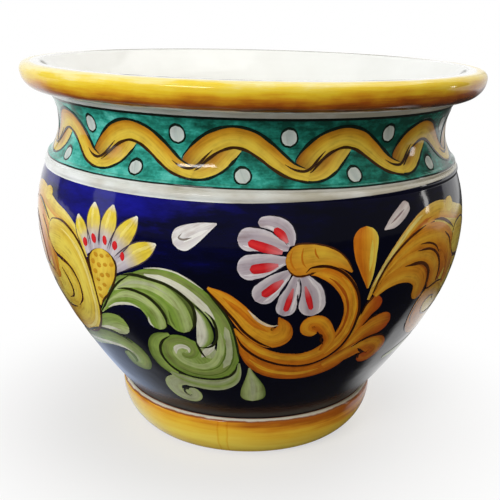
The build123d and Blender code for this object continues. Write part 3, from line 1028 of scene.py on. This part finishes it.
    # the ink lines, drawn last
    for points, wide in (
        ([(-56, 63.6), (-47.5, 72.2), (-43.5, 75.2), (-39.5, 76), (-36, 74.6), (-33, 70.5)], 1.8),
        ([(-32, 112.2), (-29.5, 113.6), (-26.6, 113.2), (-23.5, 110.6), (-21, 105), (-19.7, 98),
          (-19.8, 91)], 1.9),
        ([(-30.4, 121.6), (-27, 123.2), (-23.5, 122.6), (-19, 120.6), (-15.5, 116.2), (-13, 110.2),
          (-12.2, 103), (-12.6, 95.5), (-14, 90)], 1.9),
        ([(-9.8, 106), (-8.2, 101.5), (-7.4, 95), (-7.4, 87), (-8.6, 80.8), (-11, 78), (-12.4, 78.4)], 1.6),
        ([(-13, 84), (-12.4, 78.5), (-11.8, 73.5), (-10.8, 69.2)], 1.5),
        ([(-2.4, 66), (-3.2, 58.5), (-5.2, 52.6), (-8.5, 49.4), (-12.5, 48.4), (-17, 49.4), (-20.8, 53.2),
          (-23, 59.5), (-23.9, 66.5), (-23.5, 73.5), (-22, 79.8), (-19.6, 84.8)], 1.7),
        ([(-40.4, 91), (-37.6, 98), (-34.6, 107.5), (-31.6, 116), (-28, 122.5)], 1.4),
        ([(-9.4, 119), (-6.6, 110.5), (-4.4, 101.5), (-3.2, 92), (-2.4, 80), (-1.9, 68)], 1.4),
    ):
        green.line(points, leaf_ink, wide, 3.6)
    green.line([(-24, 128.2), (-20, 129.4), (-16, 128), (-12.4, 123.6), (-10, 119.6)], leaf_cream, 0.9, 3.4)


# The yellow acanthus: the biggest leaf, which arches up to the shoulder over three lobes of its own and
# rolls into a broad ring.
scroll_paint = brush_finish("scroll_paint", 1.5, 1.1)
gold_deep, gold_mid, gold_light = pigment(198, 114, 24), pigment(220, 146, 36), pigment(232, 176, 54)
gold_pale, gold_brown, gold_ink = pigment(240, 220, 126), pigment(168, 84, 22), pigment(80, 42, 16)
lemon_mid, lemon_light = pigment(224, 188, 62), pigment(236, 212, 88)
tip_brown = tints(gold_brown, 0, 0, 0.1, 0.4)
for yellow in repeats("yellow_acanthus", "yellow_glaze", 40, scroll_paint):
    yellow.mark(
        [(30.6, 112, 3), (35, 123, 12), (41, 130, 22), (48, 130, 32), (54, 124, 36),
         (58, 112, 30)],
        (gold_brown, gold_deep, gold_mid), 0.2)
    yellow.mark(
        [(50, 147, 6), (56, 146.5, 11), (61, 143, 14), (65, 136, 14)],
        (lemon_mid, lemon_light), 0.3)
    yellow.mark(
        [(60.5, 118, 30), (62.5, 104, 46), (62, 90, 44), (61, 76, 36)],
        (lemon_mid, lemon_light, lemon_mid), 0.3, root="round")
    outer = yellow.mark(
        [(29, 110, 1.5), (30.3, 119, 4), (32.5, 127.5, 6), (35.5, 136.5, 7.5), (39.5, 145, 8.6),
         (44.5, 151.6, 10), (50, 154.8, 10.6), (55, 154.4, 10.6), (60, 151.6, 10), (65, 148.6, 9),
         (70, 146, 8), (74, 141.5, 6.5), (77, 135, 4.5), (79, 127, 1.5)],
        (gold_mid, lemon_mid, lemon_light, gold_pale), 1, tip="open",
        along=tints(gold_mid, 0.5, 0.6, 0.6, 0.4, 0.1, 0, 0))
    yellow.streak(outer, 0.5, gold_pale, 2.2, 1.5, 0.05, 0.4)
    yellow.streak(outer, -0.4, gold_deep, 2.2, 1.5, 0.15, 0.45)
    knob = [(57, 153, 8), (58.5, 155.8, 9), (61.5, 156.6, 6)]
    yellow.mark(knob, (lemon_light, lemon_mid), 1.3, root="round")
    # the lobes under the arch, from the outermost in
    yellow.mark(
        [(33.5, 127, 3), (37.5, 134.5, 8), (42.5, 139.8, 12), (48, 141, 15.5), (53, 139, 16),
         (57.5, 133.5, 15.5), (60.5, 125, 14), (61.8, 116, 13), (61.5, 103, 11)],
        (gold_deep, gold_mid, gold_light, gold_mid, gold_mid), 1.6, along=tip_brown)
    yellow.mark(
        [(32.8, 121, 3), (37, 127.5, 7), (42, 130.2, 9), (46.8, 128.8, 10), (50.2, 124, 10.6),
         (52.2, 116.5, 11), (52.4, 104.5, 10)],
        (gold_deep, gold_mid, gold_light, gold_mid), 2.2, along=tip_brown)
    yellow.mark(
        [(30.8, 112, 3), (33.5, 118.5, 8), (37, 121.6, 10), (41, 121.5, 11), (44.3, 118.5, 12),
         (46.2, 113, 12.6), (46.5, 101.6, 12)],
        (gold_mid, gold_light, gold_mid, gold_mid), 2.8, along=tip_brown)
    # the ring, with the smaller turn inside it
    yellow.mark(
        [(67.5, 117.5, 3), (71.2, 113.5, 8), (72.8, 105, 9.5), (71.5, 96, 10), (67.5, 90, 9.5),
         (62, 88, 8)],
        (lemon_light, lemon_mid, lemon_mid), 1)
    yellow.mark([(64, 111.5, 3), (67, 108, 6.5), (67.6, 101, 8), (65.5, 95.5, 8), (61.5, 94, 6)],
                (lemon_light, lemon_mid), 1.6)
    ring = yellow.mark(
        [(60.8, 131, 17), (64.5, 132, 21), (69, 131.5, 23), (73.4, 126.5, 21), (76.2, 117, 17),
         (76.9, 106, 15.5), (76.2, 95, 16), (73.6, 85, 17), (69.4, 77.6, 18), (64, 73.6, 18),
         (58, 74, 16), (53, 79, 14), (50.2, 87.5, 12.5), (50.3, 97, 11.5), (53, 103, 11),
         (56.8, 103.6, 10.5), (59.6, 99, 10), (59.4, 92.5, 9)],
        (lemon_mid, lemon_light, lemon_light, lemon_mid, lemon_light), 3, root="round",
        along=tints(gold_deep, 0, 0, 0, 0, 0, 0.3, 0.8, 0.9, 0.6, 0.3))
    yellow.streak(ring, 0.6, gold_pale, 2.2, 3.5, 0.1, 0.55)
    for points, wide in (
        ([(30, 114), (31.4, 123), (33.4, 131), (36.4, 138), (40, 143.4), (43.2, 146.4), (46, 148.4)], 1.5),
        ([(50, 150.2), (54, 148.8), (58, 145), (61.2, 140.4)], 1.8),
        ([(43, 134.4), (48, 133.6), (51.6, 129.4), (54, 123), (55, 115), (54.8, 108)], 1.5),
        ([(39, 126.8), (44.4, 126.6), (47.4, 123.6), (49.2, 118.5), (49.4, 111), (48.4, 104)], 2.2),
        ([(44, 138), (47.5, 137.4), (50.8, 134.2), (53, 129)], 1.2),
        ([(55.5, 140.5), (58.8, 134.5), (60.4, 127)], 1.2),
        ([(49, 106), (52, 106.6), (56, 108), (60, 106.6)], 1.6),
        ([(49.4, 101), (48.2, 94), (48.6, 86.5), (50.6, 80)], 1.4),
        ([(66.5, 118.6), (70.6, 117.2), (73.2, 111.6), (74, 104.5), (73, 96), (69.6, 88.6)], 1.6),
        ([(66.2, 113), (68.4, 107), (69.2, 101), (68.2, 95), (65, 91)], 1.5),
    ):
        yellow.line(points, gold_ink, wide, 3.6)
    for side, start, end in ((1, 0, 0.75), (-1, 0, 0.18), (-1, 0.5, 1)):
        yellow.edge(ring, side, gold_ink, 1.4, 3.8, start, end)


# The daisies: six lilac-white petals with a red stroke in each, fanned round the left of a golden head that
# tails off along the orange leaf.
daisy_lilac = (pigment(220, 214, 220), pigment(180, 168, 178), pigment(188, 176, 186), pigment(220, 214, 220))
daisy_white, daisy_pink, daisy_ink = pigment(232, 226, 230), pigment(226, 140, 146), pigment(24, 20, 36)
daisy_petals = [
    [(9.2, 145.6, 3), (8.6, 151, 8), (7, 155.6, 9.6), (4.6, 158, 7.6), (1.8, 158.2, 5)],
    [(8.6, 144.2, 3), (5, 147.4, 10), (1.5, 149, 12.6), (-2.6, 149, 12.6)],
    [(8.6, 138, 3), (5, 136.3, 10.5), (2, 134.6, 14), (-2.5, 132.4, 14.4)],
    [(9, 131.4, 3), (6.8, 126.6, 10), (4.4, 121, 13.4), (1.6, 114.2, 13)],
    [(10.4, 129, 3), (9.8, 121.5, 9), (9, 114.5, 11.4), (8.2, 104.2, 11)],
    [(11.8, 129.5, 4), (13, 123, 11.5), (14.3, 116, 15.4), (15, 103.6, 15)],
]
daisy_reds = [
    [(8.3, 147.4, 1.6), (7, 151.6, 4.4), (5.3, 155, 3.2)],
    [(7.2, 142, 2), (5, 143.6, 4.6), (2.4, 145.4, 5.2), (-0.3, 147.6, 4.2)],
    [(6.4, 135.2, 1.6), (4.4, 134.1, 5), (2.2, 133.2, 5.6), (0.2, 132.6, 4.8)],
    [(7.6, 126.6, 1.6), (6, 123.2, 4.6), (4.4, 119.8, 5), (3, 117.4, 4.2)],
    [(9.9, 121.6, 1), (9.2, 114.4, 3.4), (8.5, 107.2, 3.2)],
    [(12.6, 122.6, 1), (13.6, 115.4, 3.4), (14.6, 107.6, 2.6)],
]
daisy_gold = (gold_mid, gold_light, lemon_mid, gold_light)
daisy_head = [
    (7.9, 137.4, 13.6), (11, 137.6, 17.4), (14.5, 138.4, 15.4), (18, 138, 10.8), (21, 134.8, 6.2),
    (23.6, 129, 1),
]
for daisy in repeats("daisy", "white_glaze", 50, flower_paint):
    for order, petal in enumerate(daisy_petals):
        stroke = daisy.mark(petal, daisy_lilac, 0.2 * order)
        for side in (-1, 1):
            daisy.edge(stroke, side, daisy_ink, 0.9, 1.6, 0.05, 0.8)
        daisy.streak(stroke, 0.6, daisy_white, 1.4, 1.7, 0.1, 0.9)
    for dab in daisy_reds:
        daisy.mark(dab, red_dab, 2.2, along=tints(daisy_pink, 0.8, 0, 0))
    chin = [(11.6, 127.8, 4), (11.3, 130.6, 8), (11, 133, 9)]
    daisy.mark(chin, (gold_deep, gold_mid), 2.4, root="round")
    head = daisy.mark(daisy_head, daisy_gold, 2.8, root="round", tip="open",
                      along=tints(gold_deep, 0.7, 0.35, 0.15, 0.4, 0.8))
    daisy.edge(head, -1, gold_ink, 1.2, 3.2, 0, 0.4)
    daisy.edge(head, 1, gold_ink, 0.9, 3.2, 0, 1)
    for points in (
        [(9.4, 143), (9, 139), (9.4, 135), (10.4, 131.6)],
        [(11.8, 144.4), (11.5, 140), (11.8, 136), (12.6, 133.4)],
        [(14.4, 144.2), (14.6, 141), (15.4, 138)],
    ):
        daisy.line(points, gold_deep, 1, 3.3)


# The orange acanthus: a leaf that sweeps down under the daisy and up again round it, with a rolled lobe at
# its start, a curl on its inner side and three short leaves fanned at its outer turn.
orange_deep, orange_mid, orange_light = pigment(178, 86, 16), pigment(210, 120, 24), pigment(232, 166, 42)
orange_red, orange_ink, orange_cream = pigment(182, 70, 26), pigment(58, 26, 8), pigment(236, 216, 180)
tip_red = tints(orange_red, 0, 0, 0.15, 0.85)
for leaf in repeats("orange_acanthus", "yellow_glaze", 60, scroll_paint):
    leaf.mark(
        [(-2.4, 86, 2), (-0.3, 75, 6.5), (2.3, 67, 10.5), (6, 61, 13), (10.5, 57.8, 14),
         (15.5, 56.8, 14), (20.5, 58.8, 14.6), (24.5, 64, 16), (27, 72, 14), (28.2, 82, 10),
         (28.6, 90, 7)],
        (orange_deep, orange_mid, orange_mid, orange_deep), 0.6)
    leaf.line([(0.6, 70), (4.6, 61.6), (10, 56.6), (16, 55.4), (21, 58)], orange_light, 2.6, 1.1)
    leaf.mark(
        [(27.8, 82, 4), (28.6, 93, 6), (29.8, 101, 8.6), (31.2, 106, 11), (32.2, 111.4, 10.6)],
        (orange_deep, orange_mid, orange_light), 0.9, along=tip_red)
    leaf.mark(
        [(26.5, 70, 6), (29, 79, 10), (31.5, 86, 14), (34.5, 89.8, 16.4), (38.9, 90.4, 16)],
        (orange_deep, orange_mid, orange_light, orange_mid), 1.4, along=tip_red)
    leaf.mark(
        [(22, 60, 8), (28, 68.5, 12), (32.5, 73, 13), (36.8, 72.4, 14.4), (39.2, 67.4, 13.6),
         (38.2, 62, 11.6), (35.6, 61, 8.4), (33.8, 65, 5)],
        (orange_mid, orange_mid, orange_light, orange_deep), 1.9, along=tip_red)
    leaf.mark(
        [(-9, 121, 1.5), (-5.5, 115, 8), (-2.4, 107, 11.5), (0, 99, 13), (2.8, 92.3, 14.5),
         (5.8, 88.4, 16), (8, 90.6, 14.4), (8.5, 97, 8.4), (7.2, 103.4, 0.8)],
        (orange_mid, orange_light, orange_light, orange_mid), 1.6, tip="open",
        along=tints(orange_deep, 0.2, 0, 0, 0, 0.2, 0.7))
    leaf.line([(-5.6, 115.6), (-1.6, 107), (1.6, 98.6), (5, 93)], orange_mid, 3.4, 2.1)
    leaf.line([(0, 108.4), (2.6, 101.2), (5.2, 97.6), (7.2, 97.8)], orange_cream, 1.7, 2.3)
    eye = [(17, 99, 9), (15.8, 94, 10), (16.6, 91, 6)]
    leaf.mark(eye, (orange_light, orange_mid), 1.8, root="round")
    band = leaf.mark(
        [(-3.2, 95, 2), (-1.5, 87.5, 6), (1.5, 79.6, 8.4), (5.5, 73.2, 9.4), (10, 69.6, 10.4),
         (15, 68.8, 11.4), (19.3, 72, 12.8), (22.3, 79, 12.6), (24.3, 88, 10.6), (25, 98, 9.6),
         (24.8, 108, 10), (23.2, 118, 10.8), (20, 126.6, 10.2), (16, 130.8, 7), (12.8, 130.2, 1.6)],
        (orange_mid, orange_mid, orange_light, orange_mid), 2.4, tip="open")
    leaf.streak(band, 0.2, orange_light, 2.4, 2.9, 0.02, 0.4)
    leaf.streak(band, -0.35, orange_light, 2.2, 2.9, 0.45, 0.85)
    leaf.streak(band, 0.5, orange_deep, 1.6, 2.9, 0.45, 0.9)
    leaf.mark(
        [(20, 75, 5), (21, 84, 7), (19.6, 91.5, 8.4), (17.4, 97.6, 10), (14.9, 98.2, 9.4),
         (14.6, 93.6, 8.4), (17, 90.4, 5.6)],
        (orange_mid, orange_light, orange_mid, orange_deep), 3)
    for points, wide in (
        ([(-2.6, 90), (-1.2, 82), (1.6, 74.6), (5.4, 68.6), (10.2, 64.4), (16, 62.9), (21, 66.6),
          (24.8, 75), (26.6, 86), (27.1, 98), (26.8, 108), (25.2, 118.5), (22, 128), (18, 133.2),
          (14, 133.4), (12.6, 130.6)], 1.7),
        ([(-8.8, 119), (-5.4, 108.6), (-3, 101), (-0.6, 92.6), (3, 84.6), (6.4, 80.2)], 1.6),
        ([(29, 74), (31.4, 78.2), (34.6, 80.5), (38, 79.6), (40.6, 76)], 1.8),
        ([(29.6, 91.6), (31.4, 96.4), (34.2, 98.8)], 1.4),
        ([(28, 100), (28.8, 107), (30.6, 111.4)], 1.2),
        ([(31.6, 71.4), (33.4, 68), (34.8, 66.4)], 1.8),
        ([(34.8, 67), (33.2, 64.6), (33.8, 61)], 1.8),
        ([(19.6, 80.6), (18.6, 84.6), (18.6, 88), (17.2, 90.6)], 1.2),
    ):
        leaf.line(points, orange_ink, wide, 3.6)


# The loose drops: single loaded dabs that fill the gaps, a white petal on each side of the daisy, an orange
# drop under the shoulder and a pale green one that hangs from the scrolls.
petal_cool = (pigment(226, 222, 222), pigment(240, 238, 236), pigment(212, 206, 208), pigment(238, 236, 234))
petal_rose = (pigment(206, 196, 196), pigment(228, 220, 218), pigment(200, 188, 188))
petal_grey, petal_mauve = pigment(128, 118, 112), pigment(150, 128, 132)
for loose in repeats("loose_drops", "white_glaze", 70, flower_paint):
    loose.mark(
        [(-7.2, 156.7, 0.8), (-10.2, 153.4, 7.5), (-12.8, 150, 12), (-14.8, 147.2, 13.6),
         (-16.8, 144.2, 12.6)],
        petal_cool, 0)
    loose.line([(-12.6, 148.4), (-14.4, 147), (-15.6, 147.8), (-14.9, 150.2)], petal_grey, 1.1, 0.7)
    loose.line([(-9, 153.4), (-12, 149.4), (-14.4, 145.6)], pigment(244, 242, 238), 2, 0.6)
    loose.mark([(32, 150.6, 0.8), (34.6, 153.8, 6.6), (37.3, 158, 8), (40.3, 163.4, 7)], petal_rose, 0)
    loose.line([(34, 153.4), (36.6, 157.2), (38.6, 160.2)], petal_mauve, 1.1, 0.6)
    loose.mark(
        [(28.3, 117.6, 1), (28, 124, 6.5), (27.5, 131, 11), (27, 138, 14.6), (26.9, 145, 16.4),
         (27, 153.8, 16)],
        (lemon_light, gold_light, gold_mid, orange_mid, orange_mid), 0)
    loose.line([(28.2, 128), (28.4, 136), (28.6, 146)], lemon_light, 2.2, 0.6)
    loose.mark([(0.8, 62, 1.2), (1.3, 55, 5), (1.9, 47, 10.5), (2.3, 39, 14.4), (2.5, 25.6, 15.6)],
               (leaf_olive, leaf_light, leaf_pale, leaf_light, leaf_deep), 0)
    loose.line([(1.6, 50), (2.3, 40), (2.5, 31)], leaf_pale, 2.6, 0.6)


# The foot: yellow brushed round the ring while the pot turned, orange along its shoulder, with the mark
# where the brush was lifted, and stopped short of the ground so that the bare clay stands dry.
foot_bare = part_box("foot_glaze")[0].z
brush_lifted = math.radians(-9.5)
lap_wide = 0.0018
lap_sway = 0.05


def foot_yellow(glaze):
    """Yellow that deepens to orange up the foot, and towards the right as painted shade, with the lap of the
    brush in front.
    """
    x, z = glaze.axes("XZ")
    streak = glaze.noise((14, 14, 300), 4.0, 0.6)
    pool = glaze.noise((30, 30, 60), 3.0)
    # painted shade: the yellow deepens towards the right (x)
    orange_and_painted_shade = z / foot_height + (streak - 0.5) * 0.5 + (pool - 0.5) * 0.4 + x * 2.4 - 0.06
    laid = glaze.ramp(
        orange_and_painted_shade, (0.00, 240, 206, 74), (0.28, 248, 222, 90), (0.62, 238, 192, 58),
        (0.78, 222, 152, 38), (0.92, 174, 94, 22),
    )
    off = glaze.turn() - brush_lifted + (pool - 0.5) * lap_sway
    near = {"Value": off * off, "From Min": 0.0, "From Max": lap_wide, "To Min": 1.0, "To Max": 0.0}
    lap = glaze.node("ShaderNodeMapRange", near)
    lapped = glaze.ramp(lap, (0.00, 255, 255, 255), (0.30, 246, 224, 176), (0.75, 255, 255, 236))
    return glaze.mix(1.0, laid, lapped, "MULTIPLY")


foot_glaze = glaze_finish("foot_glaze", foot_yellow)
foot = coat_section(foot_line(foot_bare, foot_line_low))
turned("yellow_foot", foot, foot_glaze, "yellow_glaze", "foot_glaze")


# The studio: a table under pale paper, which bends up behind the pot as a backdrop and greys in its shadow.
# Soft light and a narrow lamp come from the front left, daylight from the left, and more from the ceiling, a
# small window on the right, a warm lamp beside it and a fill behind.
table_left, table_right, table_front, table_back = -2.4, 2.4, -1.8, 1.4
backdrop_rise, backdrop_bend, bend_steps = 2.2, 0.6, 16
table_line = [(table_front, 0.0), (table_back - backdrop_bend, 0.0)]
for step in range(1, bend_steps + 1):
    angle = math.pi / 2 * step / bend_steps
    bend_y = table_back - backdrop_bend + backdrop_bend * math.sin(angle)
    table_line.append((bend_y, backdrop_bend * (1 - math.cos(angle))))
table_line.append((table_back, backdrop_rise))
verts = [(x, y, z) for y, z in table_line for x in (table_left, table_right)]
faces = [(2 * i, 2 * i + 1, 2 * i + 3, 2 * i + 2) for i in range(len(table_line) - 1)]
table_mesh = bpy.data.meshes.new("studio_table")
table_mesh.from_pydata(verts, [], faces)
table_mesh.shade_smooth()
table = stand("studio_table", table_mesh)

paper = Finish("pale_paper", 0.9, gloss=0.1)
paper_x, paper_y, paper_z = paper.axes("XYZ")
to_camera = paper.node("ShaderNodeLightPath", out="Is Camera Ray")
to_gloss = paper.node("ShaderNodeLightPath", out="Is Glossy Ray")
to_glass = paper.node("ShaderNodeLightPath", out="Is Transmission Ray")
painted_paper_shade, lit, white = pigment(56, 55, 54), pigment(226, 226, 226), pigment(255, 255, 255)
# painted light: the paper is paler near the pot, so that it throws more light back onto the pot
shadow_bounce, open_bounce = 0.72, 0.34
pot_distance = paper.distance((1, 1, 1))
off_middle = paper_x.larger(0.0 - paper_x)

# each fade runs between two places on the paper, in metres from the middle of the foot. They paint light and
# shade on the paper: it is painted paler near the pot, so that it throws more light back onto it, and in the
# glaze's reflections it shows painted shade in front of the pot and behind the rim, and painted pools of
# light by the foot, just right of it, far off to the sides and on the backdrop.
beyond_shadow = paper.fade(pot_distance, 0.09, 0.24)
bounce = shadow_bounce - beyond_shadow * (shadow_bounce - open_bounce)
leftward = paper.fade(paper_x, 0.0, -0.09)
painted_pool_by_the_foot = paper.fade(pot_distance, 0.20, 0.13) * paper.fade(paper_y, -0.10, -0.03) * leftward
painted_pool_on_the_right = paper.fade(paper_y - paper_x * 0.3, -0.085, -0.060) * paper.fade(paper_x, 0.08, 0.12)
painted_pool_on_the_right *= paper.fade(pot_distance, 0.30, 0.22)
rightward = paper.fade(paper_x, 0.45, 0.80) * (paper.fade(pot_distance, 0.90, 1.15) * 0.6 + 0.25)
painted_light_far_off = paper.fade(paper_y, 0.10, 0.40) * (leftward + rightward)
backdrop = paper.fade(paper_y, 0.90, 1.20) * paper.fade(paper_x, 0.90, 0.50)
painted_shade_behind_rim = paper.fade(paper_z, 0.24, 0.28) * paper.fade(paper_z, 0.42, 0.36)
painted_shade_behind_rim *= paper.fade(off_middle, 0.40, 0.26)
painted_light_far_off = painted_light_far_off.larger(backdrop) * (1.0 - painted_shade_behind_rim)
painted_reflection_share = painted_pool_on_the_right + painted_pool_by_the_foot.larger(painted_light_far_off)
painted_light_share = bounce + to_camera * (1.0 - bounce) + to_gloss * (painted_reflection_share - bounce)
# painted reflection: the pool of light by the foot shows in the glaze with a cool daylight tint
painted_pool_tint = paper.mix(to_gloss * painted_pool_by_the_foot, white, pigment(208, 224, 255))
paper.set("Base Color", paper.mix(painted_light_share, painted_paper_shade, lit))
# the camera sees the paper mostly as white glow; reflections see nearly all glow, with its painted light and
# shade
pale = to_camera * (beyond_shadow * 0.4 + 0.6) + (to_gloss + to_glass) * (beyond_shadow * 0.1 + 0.9)
white_glow_and_painted_light = paper.node("ShaderNodeEmission", {"Color": paper.mix(painted_light_share, painted_paper_shade, painted_pool_tint), "Strength": 1.0})
own = Wire(paper, paper.shader.outputs[0])
paper_out = paper.node("ShaderNodeMixShader", {0: pale, 1: own, 2: white_glow_and_painted_light})
paper.tree.links.new(paper_out.socket, paper.tree.nodes["Material Output"].inputs["Surface"])
table_mesh.materials.append(paper.material)


def window(name, place, aim, size, power, colour, mirrored=True):
    """A soft rectangular light that hangs at a place and faces a point."""
    data = bpy.data.lights.new(name, "AREA")
    data.shape = "RECTANGLE"
    data.size, data.size_y = size
    data.energy = power
    data.color = colour
    light = stand(name, data)
    light.location = place
    light.rotation_euler = (Vector(aim) - Vector(place)).to_track_quat("-Z", "Y").to_euler()
    light.visible_glossy = mirrored


pot_middle, pot_waist = (0, 0, 0.14), (0, 0, 0.12)
lamp_white, daylight, amber = (1.0, 0.99, 0.97), (0.94, 0.97, 1.0), (1.0, 0.84, 0.62)
window("front_left", (-0.76, -1.31, 0.91), pot_middle, (0.8, 0.8), 10.5, lamp_white, mirrored=False)
window("lamp_left", (-0.74, -1.28, 0.89), pot_middle, (0.62, 0.13), 4.6, lamp_white)
window("window_left", (-1.64, -0.42, 0.55), pot_waist, (0.9, 0.9), 8.5, daylight, mirrored=False)
window("pane_left", (-1.62, -0.31, 0.45), (0, 0, 0.16), (0.35, 0.5), 0.7, daylight)
window("ceiling", (0.55, 0.10, 1.4), pot_middle, (1.2, 1.2), 8.5, (0.98, 0.99, 1.0))
window("window_right", (1.25, 0.22, 0.28), (0.1, -0.09, 0.2), (0.07, 0.2), 0.26, (1.0, 0.98, 0.94))
window("back_fill", (0.5, 1.15, 0.8), pot_waist, (0.8, 0.8), 7, (1.0, 0.98, 0.95), mirrored=False)
window("lamp_right", (1.5, -0.7, 0.9), pot_waist, (1.0, 1.0), 4.0, amber, mirrored=False)

world = bpy.data.worlds.new("studio_air")
world.use_nodes = True
air_tree = world.node_tree
air = air_tree.nodes["Background"]
air.inputs["Color"].default_value = (1.0, 0.97, 0.93, 1)
air.inputs["Strength"].default_value = 0.16
white_air = air_tree.nodes.new("ShaderNodeBackground")
white_air.inputs["Color"].default_value = (1, 1, 1, 1)
seen = air_tree.nodes.new("ShaderNodeLightPath")
air_out = air_tree.nodes.new("ShaderNodeMixShader")
air_tree.links.new(seen.outputs["Is Camera Ray"], air_out.inputs[0])
air_tree.links.new(air.outputs[0], air_out.inputs[1])
air_tree.links.new(white_air.outputs[0], air_out.inputs[2])
air_tree.links.new(air_out.outputs[0], air_tree.nodes["World Output"].inputs["Surface"])
bpy.context.scene.world = world

camera_distance = 0.5859
camera_height = 0.2850
camera_pitch = math.radians(16.01)
camera_yaw = math.radians(0.06)
camera_roll = math.radians(1.36)
lens = bpy.data.cameras.new("camera")
lens.sensor_width = 36.0
lens.lens = 62.76
camera = stand("camera", lens)
camera.matrix_world = (
    Matrix.Translation((0, -camera_distance, camera_height))
    @ Matrix.Rotation(-camera_yaw, 4, "Z")
    @ Matrix.Rotation(math.pi / 2 - camera_pitch, 4, "X")
    @ Matrix.Rotation(camera_roll, 4, "Z")
)
bpy.context.scene.camera = camera
bpy.context.scene.view_settings.view_transform = "Standard"
